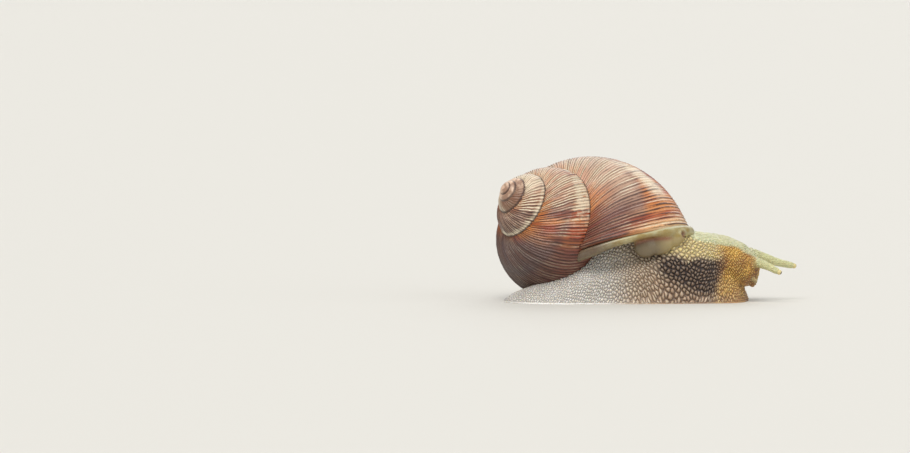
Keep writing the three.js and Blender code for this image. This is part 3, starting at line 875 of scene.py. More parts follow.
@dataclass
class Shell:
    """The coiled shell, with its lip and the hollow behind it."""

    # the sizes of the coil that its tree takes as inputs
    INPUTS = (
        "coil_radius", "expansion", "slowing", "drop", "last_drop",
        "dome_growth", "dome_rise", "half_width", "half_height",
    )
    # the rings round the lip: turns past the mouth, share of the section, and distance out of the surface
    LIP = ((0.003, 1, 0.5), (0.004, 1, 0.1), (0.003, 1, -0.35), (-0.002, 1, -0.7))
    coil: Coil = field(default_factory=Coil)
    mouth: Mouth = field(default_factory=Mouth)
    finish: ShellFinish = field(default_factory=ShellFinish)
    # the first turn, and the turns over which its tip is rounded
    first: float = -5.5
    rounding: float = 0.3
    points: int = 40
    rings_per_rib: float = 6.6
    samples: int = 4000
    # the outward turn of the lip, the wall behind it, and the depth of the hollow in turns
    flare: float = 0.7
    flare_turns: float = 0.035
    wall: float = 0.9
    depth: float = -0.2
    inner_rings: int = 8
    # the turns between which the ribs rise
    ribs_from: float = -3.8
    ribs_full: float = -2.9

    def stations(self) -> np.ndarray:
        """Places the rings: closer where the shell is small, so that each rib gets as many.

        Returns:
            Rows of place along the shell in turns, share of the section, and distance out of the surface.
        """
        ribs = self.finish.ribs
        ends = [float(self.coil.growth(PlainSums, np.array(t))) ** ribs.crowding for t in (self.first, 0.0)]
        count = int(ribs.per_turn * (ends[1] - ends[0]) * self.rings_per_rib)
        fine = np.linspace(self.first, 0, self.samples)
        share = self.coil.growth(PlainSums, fine) ** ribs.crowding
        along = np.interp(np.linspace(*ends, count), share, fine)
        begun = np.clip((along - self.first) / self.rounding, 0, 1)
        fill = np.sqrt(1 - (1 - begun) ** 2)
        outer = np.stack([along, fill, self.flare * np.exp(along / self.flare_turns)], 1)
        back = [(t, 1, -self.wall) for t in (-0.02, *np.linspace(-0.04, self.depth, self.inner_rings))]
        return np.vstack([outer[1:], self.LIP, back])

    def sheet(self) -> tuple[np.ndarray, list]:
        """Lays the rings out as one closed sheet.

        Returns:
            A row for each point, with its place along the shell, its turns from the coil's zero, its angle
            round the section, its share of the section's size and its distance out of the surface, and the
            faces.
        """
        angles = np.arange(self.points) * TURN / self.points
        lag = self.mouth.lag(self.coil, angles)
        rows = self.stations()
        grid = np.zeros((len(rows), self.points, 5))
        grid[..., 0] = rows[:, 0, None]
        grid[..., 1] = rows[:, 0, None] + lag[None] * rows[:, 1, None]
        grid[..., 2] = angles[None]
        grid[..., 3] = rows[:, 1, None]
        grid[..., 4] = rows[:, 2, None]
        ends = [[self.first, self.first, 0, 0, 0], [self.depth, self.depth, 0, 0, 0]]
        _, faces = loft(grid[..., :3])
        return np.vstack([grid.reshape(-1, 5), ends]), [tuple(reversed(f)) for f in faces]

    def build(self) -> bpy.types.Object:
        """Builds the shell.

        Returns:
            The dressed shell.
        """
        values, faces = self.sheet()
        along, turn, angle, fill, grow = values.T
        piece = make_piece("shell_coil", values[:, :3], faces)
        mark(piece, along=along, turn=turn, angle=angle, fill=fill, grow=grow)
        mark(piece, across=np.cos(angle), over=np.sin(angle), cover=self.coil.cover(turn, angle))
        shaper = Shaper("shell growth")
        sizes = {n: shaper.size(n.replace("_", " ").capitalize(), getattr(self.coil, n)) for n in self.INPUTS}
        spot = [shaper.read(name) for name in ("turn", "angle", "fill", "grow")]
        place = replace(self.coil, **sizes).point(shaper, *spot)
        shaper.move(Position=shaper.scaled(shaper.vector(*place), MM))
        ribs = self.finish.ribs
        along = shaper.read("along")
        height = shaper.size("Rib height", ribs.height)
        course = ribs.course(shaper, self.coil, along)
        crest = ribs.crest(shaper, course, shaper.read("across"), shaper.read("over"))
        kept = shaper.smooth(along, self.ribs_from, self.ribs_full)
        kept = kept * shaper.smooth(shaper.read("grow"), -0.5, -0.1)
        shaper.move(Offset=shaper.scaled(shaper.outward(), crest * kept * height * MM))
        shaper.apply(piece, self.finish.material(self.coil))
        piece.data.shade_smooth()
        piece.name = "shell_whorls"
        return piece


# ---------------------------------------------------------------- the body


class Profile:
    """A smooth curve through pairs of place and value."""

    def __init__(self, *pairs: tuple[float, float]) -> None:
        """Keeps the pairs.

        Args:
            pairs: places and values, in order of place.
        """
        self.x, self.y = np.array(pairs, float).T
        ahead = np.minimum(np.arange(len(pairs)) + 1, len(pairs) - 1)
        behind = np.maximum(np.arange(len(pairs)) - 1, 0)
        self.slope = (self.y[ahead] - self.y[behind]) / (self.x[ahead] - self.x[behind])

    def __call__(self, x: Any) -> np.ndarray:
        """Reads the curve, which is held level past its ends.

        Args:
            x: places.

        Returns:
            The value at each place.
        """
        x = np.clip(np.asarray(x, float), self.x[0], self.x[-1])
        i = np.clip(np.searchsorted(self.x, x, "right") - 1, 0, len(self.x) - 2)
        span = self.x[i + 1] - self.x[i]
        t = (x - self.x[i]) / span
        rise = self.slope[i] * span * (t**3 - 2 * t**2 + t) + self.slope[i + 1] * span * (t**3 - t**2)
        return self.y[i] * (2 * t**3 - 3 * t**2 + 1) + self.y[i + 1] * (3 * t**2 - 2 * t**3) + rise


def arch(half: Any, share: Any, power: Any) -> np.ndarray:
    """Half width of a round-topped section at a share of its height, squarer as the power rises."""
    return half * np.clip(1 - np.clip(share, 0, 1) ** power, 0, 1) ** (1 / power)


MIDDLE = Profile((-28.2, -6.4), (-18, -4.9), (-8, -3.0), (2, -1.9), (13, -1.6), (21, -2.0), (28.2, -3.3))


def sway(x: Any) -> np.ndarray:
    """Slope of the body's middle line, seen from above, over the millimetre round a place."""
    return MIDDLE(x + 0.5) - MIDDLE(x - 0.5)


class Length:
    """A stretch of the body, with its section at each place."""

    # share of half a turn that the cosine spacing of the sections leaves out at each end
    END_CUT = 0.12
    start: float
    end: float
    low: Profile | None = None
    top: Profile

    def half_at(self, x: Any, z: Any) -> np.ndarray:
        """Half width at a place and height."""
        raise NotImplementedError

    def bottom(self, x: Any) -> np.ndarray:
        """Height of the underside."""
        return self.low(x) if self.low else np.zeros_like(np.asarray(x, float))

    def ring(self, x: float, sides: int, under: int) -> np.ndarray:
        """Builds the section at a place.

        Args:
            x: the place.
            sides: faces up each side.
            under: faces across the underside.

        Returns:
            Its points in millimetres.
        """
        heading = math.atan2(float(sway(x)), 1)
        low, top = float(self.bottom(x)), float(self.top(x))
        z = low + (top - low) * np.sin(math.pi / 2 * np.arange(sides) / sides)
        half = self.half_at(x, z)
        flat = half[0] * (1 - 2 * np.arange(1, under) / under)
        side = np.concatenate([half, [0], -half[::-1], -flat])
        level = np.concatenate([z, [top], z[::-1], np.full(under - 1, low)])
        across = np.array([-math.sin(heading), math.cos(heading)])
        return np.stack([x + side * across[0], MIDDLE(x) + side * across[1], level], 1)

    def form(self, spacing: float, sides: int, under: int) -> tuple[np.ndarray, list]:
        """Builds the closed surface of the whole stretch, with its sections closer towards the ends.

        Args:
            spacing: about how far apart the sections are.
            sides: faces up each side.
            under: faces across the underside.

        Returns:
            Its points in millimetres and its faces.
        """
        count = round((self.end - self.start) / spacing)
        turn = math.pi * (self.END_CUT + (1 - 2 * self.END_CUT) * np.arange(count + 1) / count)
        share = 0.5 - 0.5 * np.cos(turn) / math.cos(self.END_CUT * math.pi)
        places = self.start + (self.end - self.start) * share
        return loft(np.stack([self.ring(x, sides, under) for x in places]))


@dataclass
class Trunk(Length):
    """The foot and back, from the tail to behind the head, spread flat at the sole."""

    start: float = -28.2
    end: float = 25.2
    # the edge of the sole: how far it spreads, how high, and the half width that it takes to spread in full
    fringe: float = 1.1
    fringe_height: float = 0.9
    fringe_full: float = 4.0
    # how far below and above the shoulder the side is drawn in
    waist_below: float = 1.0
    waist_above: float = 1.8

    def __post_init__(self) -> None:
        """Sets out the sections."""
        self.top = Profile(
            (-28.2, 0.7), (-26, 2.1), (-22, 3.6), (-18.3, 5.0), (-12, 8.6), (-7, 13), (0, 17), (8, 17.4),
            (13.4, 15.5), (16, 15.1), (19.4, 14.5), (21.5, 12.2), (23.2, 7.0), (24.4, 3.0), (25.2, 0.9),
        )
        self.half = Profile(
            (-28.2, 0.8), (-26, 3.0), (-22, 5.4), (-18, 7.0), (-10, 8.4), (0, 9.0), (8, 8.6), (14, 7.9),
            (18, 7.2), (20.5, 6.6), (22.6, 5.6), (24.2, 4.2), (25.2, 2.2),
        )
        self.square = Profile((-28, 2.0), (-16, 2.2), (-8, 3.4), (8, 3.2), (13, 2.3), (25, 2.1))
        self.shoulder = Profile((-18, 4.6), (-7, 6.3), (1.8, 8.0), (7.9, 10.6), (12, 13))
        self.waist = Profile((-17, 0), (-11, 0.22), (-4, 0.3), (4, 0.22), (9, 0.08), (12, 0))

    def half_at(self, x: Any, z: Any) -> np.ndarray:
        """Works out the half width, drawn in under the shell and spread at the sole.

        Args:
            x: places along the body.
            z: heights.

        Returns:
            The half width in millimetres.
        """
        half, shoulder = self.half(x), self.shoulder(x)
        drawn = 1 - self.waist(x) * step(z, shoulder - self.waist_below, shoulder + self.waist_above)
        edge = np.minimum(1, half / self.fringe_full) * self.fringe * np.exp(-z / self.fringe_height)
        return arch(half, z / self.top(x), self.square(x)) * drawn + edge


@dataclass
class Head(Length):
    """The head, reaching forward and down over the sole."""

    start: float = 17.0
    end: float = 27.9
    thin: float = 0.15
    square: float = 2.1

    def __post_init__(self) -> None:
        """Sets out the sections."""
        self.top = Profile(
            (17, 13.6), (19.4, 14.6), (22.7, 13.5), (25, 12.2), (26.6, 10.7), (27.5, 9.2), (27.9, 7.9)
        )
        self.low = Profile(
            (17, 4.5), (21, 3.7), (24, 3.3), (25.6, 3.4), (26.8, 4.4), (27.5, 5.7), (27.9, 6.8)
        )
        self.half = Profile(
            (17, 6.2), (20, 6.2), (22.5, 5.7), (24.8, 4.9), (26.4, 3.9), (27.4, 2.5), (27.9, 1.0)
        )

    def half_at(self, x: Any, z: Any) -> np.ndarray:
        """Half width at a place and height."""
        level, top = (self.top(x) + self.low(x)) / 2, self.top(x)
        return np.maximum(self.thin, arch(self.half(x), np.abs(z - level) / (top - level), self.square))


@dataclass
class Feeler:
    """A tentacle: a round tapering stalk on a curved path, with a blunt tip."""

    # the rings that round the tip, in degrees, and the points of the middle line used for distances
    TIP_LEANS = (20, 40, 60, 78)
    SPOTS = 60
    path: tuple[tuple[float, float, float], ...]
    root: float
    tip: float
    knob: float = 0.0
    knob_share: float = 0.09
    taper: float = 0.7
    steps: int = 30
    sides: int = 20

    def line(self, count: int) -> np.ndarray:
        """Places points evenly along the path.

        Args:
            count: how many.

        Returns:
            The points in millimetres.
        """
        knots = np.array(self.path)
        t = np.linspace(0, len(knots) - 1, 200)
        curves = [Profile(*enumerate(knots[:, k])) for k in range(3)]
        fine = np.stack([c(t) for c in curves], 1)
        run = np.concatenate([[0], np.cumsum(np.linalg.norm(np.diff(fine, axis=0), axis=1))])
        return np.stack([np.interp(np.linspace(0, run[-1], count), run, fine[:, k]) for k in range(3)], 1)

    def radius(self, share: np.ndarray) -> np.ndarray:
        """Radius of the stalk at a share of its length, a little swollen at the tip."""
        swelling = self.knob * hill(1 - share, self.knob_share)
        return self.root + (self.tip - self.root) * share**self.taper + swelling

    def form(self) -> tuple[np.ndarray, list]:
        """Builds the closed surface.

        Returns:
            Its points in millimetres and its faces.
        """
        line = self.line(self.steps)
        along = units(np.gradient(line, axis=0))
        radius = self.radius(np.linspace(0, 1, self.steps))
        end, ahead, blunt = line[-1], along[-1], radius[-1]
        for lean in np.radians(self.TIP_LEANS):
            line = np.vstack([line, end + ahead * blunt * np.sin(lean)])
            along = np.vstack([along, ahead])
            radius = np.append(radius, blunt * np.cos(lean))
        level = units(np.cross(along, (0, 0, 1)))
        steep = np.cross(level, along)
        turn = np.arange(self.sides) * TURN / self.sides
        around = level[:, None] * np.cos(turn)[None, :, None] + steep[:, None] * np.sin(turn)[None, :, None]
        return loft(line[:, None] + radius[:, None, None] * around)

    def nearness(self, points: np.ndarray) -> tuple[np.ndarray, np.ndarray]:
        """Measures points against the stalk.

        Args:
            points: places in millimetres.

        Returns:
            Each point's distance from the stalk's middle line, and its share of the way along it.
        """
        best, share = np.full(len(points), np.inf), np.zeros(len(points))
        for k, spot in enumerate(self.line(self.SPOTS)):
            away = np.linalg.norm(points - spot, axis=1)
            nearer = away < best
            best, share = np.where(nearer, away, best), np.where(nearer, k / (self.SPOTS - 1), share)
        return best, share


def egg(
    centre: tuple, half: tuple, rise: float = 0.0, rows: int = 24, sides: int = 36
) -> tuple[np.ndarray, list]:
    """Builds an egg.

    Args:
        centre: its middle in millimetres.
        half: its half size along each axis.
        rise: how far its nose points up, in degrees.
        rows: rings of points.
        sides: points in a ring.

    Returns:
        Its points and faces.
    """
    lat = np.linspace(0, math.pi, rows + 2)[1:-1]
    turn = np.arange(sides) * TURN / sides
    wide, level = np.sin(lat)[:, None], np.cos(lat)[:, None] + 0 * turn
    rings = np.stack([wide * np.cos(turn), wide * np.sin(turn), level], 2) * np.array(half)
    c, s = math.cos(math.radians(rise)), math.sin(math.radians(rise))
    rings = rings @ np.array([[c, 0, s], [0, 1, 0], [-s, 0, c]])
    return loft(rings + np.array(centre))


@dataclass(frozen=True)
class Warts:
    """The raised grains of a snail's skin, which turn to long folds on the back of the neck."""

    even: float = 0.72
    slant: float = 35.0
    # sizes of the folds in grains, of the face's fine grains in millimetres, and the height left unmoved
    fold_length: float = 2.4
    fold_width: float = 0.8
    fine: float = 0.5
    level: float = 0.7

    def bead(self, tree: Tree, spot: Any, dimensions: str) -> tuple[Value, Value]:
        """Works out round grains on a pattern of cells.

        Args:
            tree: a shader or geometry tree.
            spot: place in the pattern, one unit to a grain.
            dimensions: of the pattern.

        Returns:
            The relief and a random shade for each grain.
        """
        edge = Value(tree, tree.cells(spot, "DISTANCE_TO_EDGE", self.even, dimensions).outputs["Distance"])
        middle = tree.cells(spot, "F1", self.even, dimensions)
        far = Value(tree, middle.outputs["Distance"])
        pad = tree.smooth(edge, 0.0, 0.24) * tree.smooth(far, 0.88, 0.4)
        dome = 1 - tree.smooth(far, 0.0, 0.75)
        return pad * (dome * 0.5 + 0.65), tree.parts(middle.outputs["Color"])[0]

    def relief(self, tree: Tree, lie: Any, home: Any, crown: Value, face: Value) -> tuple[Value, Value]:
        """Works out the skin's relief.

        Args:
            tree: a shader or geometry tree.
            lie: place on the skin, one unit to a grain.
            home: place in space in millimetres.
            crown: 1 where long folds take the grains' place.
            face: 1 where fine grains that follow no direction do.

        Returns:
            The relief, from 0 in the grooves to 1, and a random shade for each grain.
        """
        u, v, _ = tree.parts(lie)
        bend = (tree.noise(tree.vector(u * 0.3, v * 0.3), 1.0, 1.0) - 0.5) * 1.2
        turned, side = math.cos(math.radians(self.slant)), math.sin(math.radians(self.slant))
        spot = tree.vector(u * turned - v * side + bend, u * side + v * turned + bend * 0.6)
        grain, shade = self.bead(tree, spot, "2D")
        small, small_shade = self.bead(tree, tree.scaled(home, 1 / self.fine), "3D")
        folds = tree.vector(u / self.fold_length + bend * 0.3, v / self.fold_width + bend * 0.5)
        fold = Value(tree, tree.cells(folds, "DISTANCE_TO_EDGE", 0.9).outputs["Distance"])
        long = tree.smooth(fold, 0.0, 0.35) * 0.9
        grain = grain * (1 - face) + small * face
        return grain * (1 - crown) + long * crown, shade * (1 - face) + small_shade * face


class SkinPlaces:
    """Where each colour of the skin lies, by its place on the body and slow noises."""

    def __init__(self, tree: Tree) -> None:
        """Works out the masks.

        Args:
            tree: the material's tree.
        """
        near = tree.near()
        x, _, z = tree.parts(near)
        self.cloud, self.grain = tree.noise(near, 0.3, 3.0), tree.noise(near, 5.0, 3.0)
        uneven = (self.cloud - 0.5) * 6.0
        height = z + x * 0.1 + uneven * 0.4
        self.body = tree.smooth(x + uneven, -10.0, 4.0)
        # the dusky side below the shell's edge, and the lighter edge along the floor
        dusk = tree.smooth(x + uneven, 2.0, 8.5) * tree.smooth(height, 12.0, 10.0)
        self.dusk = dusk * tree.smooth(x + uneven, 21.0, 17.0)
        low = tree.smooth(z + (x - 8.0) * 0.45 + uneven * 0.3, 6.6, 3.0) * tree.smooth(x, -6.0, 6.0)
        self.low = tree.larger(low, tree.smooth(z + uneven * 0.3, 3.0, 1.2) * tree.smooth(x, -6.0, 6.0))
        self.dark = self.dusk * (1 - self.low * 0.55)
        # the yellow upper side, the pale back of the neck, and the ochre snout with its lighter chin
        self.side = tree.smooth(height, 10.5, 12.3) * tree.smooth(x, 5.0, 8.0)
        self.back = tree.smooth(tree.marked("back") + (self.cloud - 0.5) * 1.2, 0.2, 0.8)
        self.snout = tree.smooth(x + uneven * 0.5, 17.0, 20.5)
        self.chin = self.snout * tree.smooth(z, 6.6, 3.6) * 0.35


@dataclass(frozen=True)
class SkinFinish:
    """Wet skin: beige grains in dark grooves, pale yellow along the back of the neck, ochre on the snout."""

    beige: str = "ad9880"
    # the painted highlight on the grains' tops
    light: str = "d2c3aa"
    pale: str = "ced0a7"
    yellow: str = "dcca92"
    tail: str = "e6e6e3"
    ochre: str = "ab6c22"
    gold: str = "e8b24a"
    umber: str = "5d3a1c"
    edge: str = "bb997b"
    # the grooves, partly their own darker colour and partly painted shade; the darkest also fills the mouth's
    # slit as painted shade
    groove: str = "241816"
    soft_groove: str = "6b5643"
    dusk: str = "573e30"
    feeler: str = "d2d09b"
    # the painted highlight on the grains' tops on the yellow side and the snout, and the lips' tint
    straw: str = "e8d48c"
    bump: tuple[float, float] = (0.9, 0.2)
    warts: Warts = field(default_factory=Warts)

    def material(self) -> bpy.types.Material:
        """Builds the finish, one layer of colour over another.

        Returns:
            The material.
        """
        made, tree = start_material("snail_skin")
        names = ("crown", "face", "amount", "stalk", "mouth", "lips")
        crown, face, amount, stalk, mouth, lips = (tree.marked(name) for name in names)
        kept = (tree.node("ShaderNodeAttribute", {"attribute_name": name}) for name in ("lie", "home"))
        lie, home = (node.outputs["Vector"] for node in kept)
        relief, shade = self.warts.relief(tree, lie, home, crown, face)
        at = SkinPlaces(tree)
        colour = tree.mix(at.body, self.tail, self.beige)
        colour = tree.mix(at.dusk * 0.92, colour, self.dusk)
        colour = tree.mix(at.low * 0.65, colour, self.edge)
        colour = tree.mix(at.side * 0.85, colour, self.yellow)
        ochre = tree.mix(tree.smooth(at.cloud, 0.35, 0.65), self.ochre, self.gold)
        colour = tree.mix(at.snout * (0.92 - at.low * 0.25), colour, ochre)
        colour = tree.mix(at.chin, colour, self.edge)
        # painted highlight on the tops of the grains
        bead = tree.smooth(relief, 0.5, 1.1) * (0.3 + shade * 0.5) * (1 - at.dark * 0.75)
        light = tree.mix(tree.larger(at.side, at.snout), self.light, self.straw)
        colour = tree.mix(bead * (1 - at.snout * 0.5), colour, light)
        colour = tree.mix(at.back * 0.92, colour, self.pale)
        colour = tree.mix(stalk, colour, self.feeler)
        # the grooves between them, partly their own darker colour and partly painted shade
        line = tree.mix(at.dark, self.soft_groove, self.groove)
        line = tree.mix(at.snout, line, self.umber)
        deep = tree.smooth(relief - at.dark * 0.22, 0.6, 0.12) * (1 - at.back * 0.75) * (1 - stalk * 0.9)
        deep = deep * tree.smooth(amount, 0.0, 0.05)
        colour = tree.mix(deep * (at.dark * 0.3 + 0.62 - at.side * (1 - at.dark) * 0.2), colour, line)
        colour = tree.mix(lips * 0.25, colour, self.straw)
        # painted shade in the mouth's slit
        colour = tree.mix(tree.smooth(mouth, 0.25, 0.75), colour, self.groove)
        height = relief * tree.smooth(amount, 0.0, 0.08) + at.grain * 0.12
        tree.surface(
            {
                "Base Color": colour,
                "Roughness": 0.3 + at.grain * 0.2,
                "Normal": tree.bump(height, *self.bump),
                "Subsurface Weight": 0.1,
                "Subsurface Radius": (1.0, 0.5, 0.25),
                "Subsurface Scale": 0.5 * MM,
                "Coat Weight": 0.5 - tree.larger(at.snout, at.dark) * 0.32,
                "Coat Roughness": 0.12,
            }
        )
        return made


@dataclass
class Skin:
    """The whole soft body in one surface: foot, neck, head, lips and tentacles."""

    # for each tentacle: how pale the stalk gets, where along it that starts, and the cream round its root
    PALE = {
        "upper_left": (1.0, 0.15, 1.0),
        "upper_right": (1.0, 0.3, 0.15),
        "lower_left": (0.5, 0.15, 0.0),
        "lower_right": (0.5, 0.15, 0.0),
    }
    # the middles of the two lips, and their half sizes
    LIPS = ((26.2, -2.2, 4.6), (26.1, -3.9, 4.6))
    LIP_HALF = (1.0, 0.95, 1.3)
    # along the body: how far down the back's folds reach, and the height of the relief, both in millimetres
    FOLD_REACH = ((6, 0.0), (10, 3.6), (15, 4.6), (18, 5.0), (21, 4.7), (25, 2.7), (28, 1.8))
    RELIEF = ((-28, 0.08), (-15, 0.18), (0, 0.3), (7, 0.42), (13, 0.4), (19, 0.28), (24, 0.24), (28, 0.18))
    WART_SIZE = Profile(
        (-28, 0.45), (-12, 0.58), (0, 0.78), (7, 1.02), (13, 0.88), (18, 0.66), (22, 0.5), (28, 0.45)
    )
    grain: float = 0.205
    # the mouth's slit between two heights, and the swelling that its lips add at a distance from it
    mouth: tuple[float, float] = (27.0, -3.05)
    mouth_heights: tuple[float, float] = (3.4, 4.7)
    slit_width: float = 0.24
    slit_depth: float = 0.9
    lip_out: float = 0.75
    lip_width: float = 0.35
    lip_swell: float = 0.22
    # the outlines that the grains are laid on: how far apart, of how many points, read how many at a time
    pitch: float = 0.25
    outline_points: int = 90
    batch: int = 20000
    finish: SkinFinish = field(default_factory=SkinFinish)

    def __post_init__(self) -> None:
        """Sets out the parts."""
        self.trunk = Trunk()
        self.head = Head()
        left = (
            (22.8, -0.8, 10.6), (25.6, 0.1, 10.3), (28.5, 0.9, 9.5), (32.0, 2.0, 8.35), (35.15, 3.0, 7.6)
        )
        right = (
            (22.8, -4.0, 10.2), (24.9, -4.8, 9.5), (27.6, -5.9, 8.6), (29.7, -6.8, 7.8), (31.3, -7.5, 7.0)
        )
        low_left = ((25.3, -1.5, 5.9), (26.5, -0.9, 5.5), (27.3, -0.5, 4.9))
        low_right = ((24.9, -4.6, 5.8), (26.0, -5.3, 5.3), (26.8, -5.8, 4.7))
        self.feelers = {
            "upper_left": Feeler(left, 1.95, 0.7, 0.06),
            "upper_right": Feeler(right, 1.75, 0.7, 0.06),
            "lower_left": Feeler(low_left, 0.85, 0.45, 0.04),
            "lower_right": Feeler(low_right, 0.85, 0.45, 0.04),
        }

    def outline(self, place: float, share: np.ndarray) -> np.ndarray:
        """Follows one side of the body's section from the ridge down to the sole.

        Args:
            place: along the body.
            share: rising shares of the way down.

        Returns:
            Rows of half width, height, and how far down that is in millimetres and in grains.
        """
        parts = [p for p in (self.trunk, self.head) if p.start <= place <= p.end] or [self.trunk]
        top = max(float(p.top(place)) for p in parts)
        level = top * np.cos(math.pi / 2 * share)
        half = np.zeros_like(level)
        for part in parts:
            inside = (level <= part.top(place)) & (level >= part.bottom(place))
            half = np.maximum(half, np.where(inside, part.half_at(place, level), 0))
        run = np.hypot(np.diff(half), np.diff(level))
        tall = 1 + 0.5 * step(level, 4.0, 1.5) * step(place, -10, 0) + 0.3 * step(place, 19, 22)
        grains = run / (float(self.WART_SIZE(place)) * tall[1:])
        return np.stack([half, level, np.append(0, np.cumsum(run)), np.append(0, np.cumsum(grains))], 1)

    def lie(self, points: np.ndarray) -> tuple[np.ndarray, np.ndarray]:
        """Lays the grains over the skin.

        Args:
            points: places in millimetres.

        Returns:
            For each point, how many grains it lies along the body and down the side from the ridge, and
            how many millimetres it lies down from the ridge.
        """
        x, y, z = points.T
        side = y - MIDDLE(x)
        for _ in range(3):
            slope = np.arctan(sway(x))
            ring = x + side * np.sin(slope)
            side = (y - MIDDLE(ring)) / np.cos(slope)
        start = self.trunk.start
        places = np.arange(start, self.head.end, self.pitch)
        along = np.append(0, np.cumsum(self.pitch / self.WART_SIZE(places[:-1])))
        shares = np.linspace(0, 1, self.outline_points)
        table = np.stack([self.outline(place, shares) for place in places])
        slopes = np.gradient(table, axis=1)
        slopes /= np.maximum(np.hypot(slopes[..., 0], slopes[..., 1]), 1e-6)[..., None]
        row = np.clip((ring - start) / self.pitch, 0, len(places) - 1.001)
        found = np.zeros((len(points), 2))
        for first in range(0, len(points), self.batch):
            some = slice(first, first + self.batch)
            spot = np.stack([np.abs(side[some]), z[some]], 1)
            before, past_it = row[some].astype(int), row[some] % 1
            for share, i in ((1 - past_it, before), (past_it, before + 1)):
                away = spot[:, None] - table[i, :, :2]
                k = np.argmin((away**2).sum(2), axis=1)
                every = np.arange(len(k))
                past = (away[every, k] * slopes[i, k, :2]).sum(1)
                found[some] += share[:, None] * (table[i, k, 2:] + past[:, None] * slopes[i, k, 2:])
        down = found[:, 1] * np.sign(side)
        return np.stack([np.interp(ring, places, along), down, np.zeros_like(down)], 1), found[:, 0]

    def fuse(self) -> bpy.types.Object:
        """Fuses the parts into one surface and smooths where they meet.

        Returns:
            The plain skin.
        """
        forms = [self.trunk.form(0.5, 30, 12), self.head.form(0.35, 30, 8)]
        forms += [feeler.form() for feeler in self.feelers.values()]
        forms += [egg(place, self.LIP_HALF) for place in self.LIPS]
        piece = join("body_forms", forms)
        remesh(piece, self.grain, 6)
        points = points_of(piece)
        x, _, z = points.T
        joint = step(x, 16, 18) * step(z, 2.0, 3.5) * 0.7
        joint *= 1 - 0.8 * step(x, 25.5, 26.2) * step(z, 6.6, 6.0)
        for feeler in self.feelers.values():
            away, share = feeler.nearness(points)
            radius = feeler.radius(share)
            root = step(share, 0.62, 0.4) * step(away, radius * 2.8, radius * 1.5)
            joint = np.maximum(joint * step(away, radius, radius * 1.6), root)
        soften(piece, joint, 14)
        return piece

    def open_mouth(self, piece: bpy.types.Object) -> dict[str, np.ndarray]:
        """Sinks the mouth's slit into the skin, between its raised lips.

        Args:
            piece: the skin.

        Returns:
            How far each point lies in the mouth and on the lips, from 0 to 1.
        """
        points, normals = points_of(piece), normals_of(piece)
        x, y, z = points.T
        low, high = self.mouth_heights
        level = np.clip(z, low, high)
        line = np.stack([np.full_like(level, self.mouth[0]), np.full_like(level, self.mouth[1]), level], 1)
        apart = np.linalg.norm(points - line, axis=1) * 0.3 + np.abs(y - self.mouth[1]) * 0.7
        front = step(x, 25.6, 26.2)
        slit = hill(apart, self.slit_width) * front * step(z, high + 0.5, high - 0.2)
        lips = hill(apart - self.lip_out, self.lip_width) * front * step(z, 6.4, 5.6)
        put_points(piece, points - normals * (slit * self.slit_depth - lips * self.lip_swell)[:, None])
        return {"mouth": slit, "lips": lips}

    def regions(self, piece: bpy.types.Object) -> dict[str, np.ndarray]:
        """Works out where each kind of skin lies.

        Args:
            piece: the skin.

        Returns:
            For each point, where it lies among the grains and in space, how far it belongs to the folds,
            the face, a stalk and the pale back, and the height of its relief in millimetres.
        """
        points, normals = points_of(piece), normals_of(piece)
        x, y, z = points.T
        stalk, root = np.zeros(len(points)), np.zeros(len(points))
        for name, feeler in self.feelers.items():
            away, share = feeler.nearness(points)
            radius = feeler.radius(share)
            full, start, cream = self.PALE[name]
            near = step(away, radius * 1.35, radius * 1.02)
            stalk = np.maximum(stalk, near * step(share, start, start + 0.4) * full)
            root = np.maximum(root, cream * step(away, radius + 1.3, radius))
        lie, down = self.lie(points)
        wander = 0.5 * np.sin(x * 1.3 + y * 0.9) + 0.5 * np.sin(y * 1.7 - x * 0.7 + z)
        reach = np.interp(x, *zip(*self.FOLD_REACH)) + wander * 0.5
        upper = np.maximum(step(z, 7.2, 9.0), step(x, 26, 24))
        back = step(down, reach + 1.4, reach - 1.0) * step(x, 6, 10) * upper
        crown = step(down, reach - 0.3, reach - 1.6) * step(x, 7, 10) * step(x, 24.5, 22.5)
        front = np.maximum(step(x, 24.6, 26.0), step(x, 22.4, 23.6) * step(z, 5.2, 4.0))
        face = np.maximum(np.maximum(front, step(x, -26.0, -27.2)), step(stalk, 0.0, 0.1))
        amount = np.interp(x, *zip(*self.RELIEF))
        amount *= (1 - 0.7 * stalk) * (1 - 0.5 * crown) * step(z, 0.15, 0.7) * step(normals[:, 2], -0.9, -0.6)
        made = {"lie": lie, "home": points, "crown": crown, "face": face, "stalk": stalk}
        return made | {"back": np.maximum(back, root), "amount": amount}

    def build(self) -> bpy.types.Object:
        """Builds the body.

        Returns:
            The dressed skin.
        """
        piece = self.fuse()
        mouth = self.open_mouth(piece)
        mark(piece, **self.regions(piece), **mouth)
        shaper = Shaper("skin grains")
        height = shaper.size("Wart height", 1.0)
        lie, home = (shaper.read(name, "FLOAT_VECTOR") for name in ("lie", "home"))
        relief, _ = self.finish.warts.relief(shaper, lie, home, shaper.read("crown"), shaper.read("face"))
        grown = (relief - self.finish.warts.level) * shaper.read("amount") * height * MM
        shaper.move(Offset=shaper.scaled(shaper.outward(), grown))
        shaper.apply(piece, self.finish.material())
        piece.data.shade_smooth()
        piece.name = "body_skin"
        return piece


# ---------------------------------------------------------------- the mantle


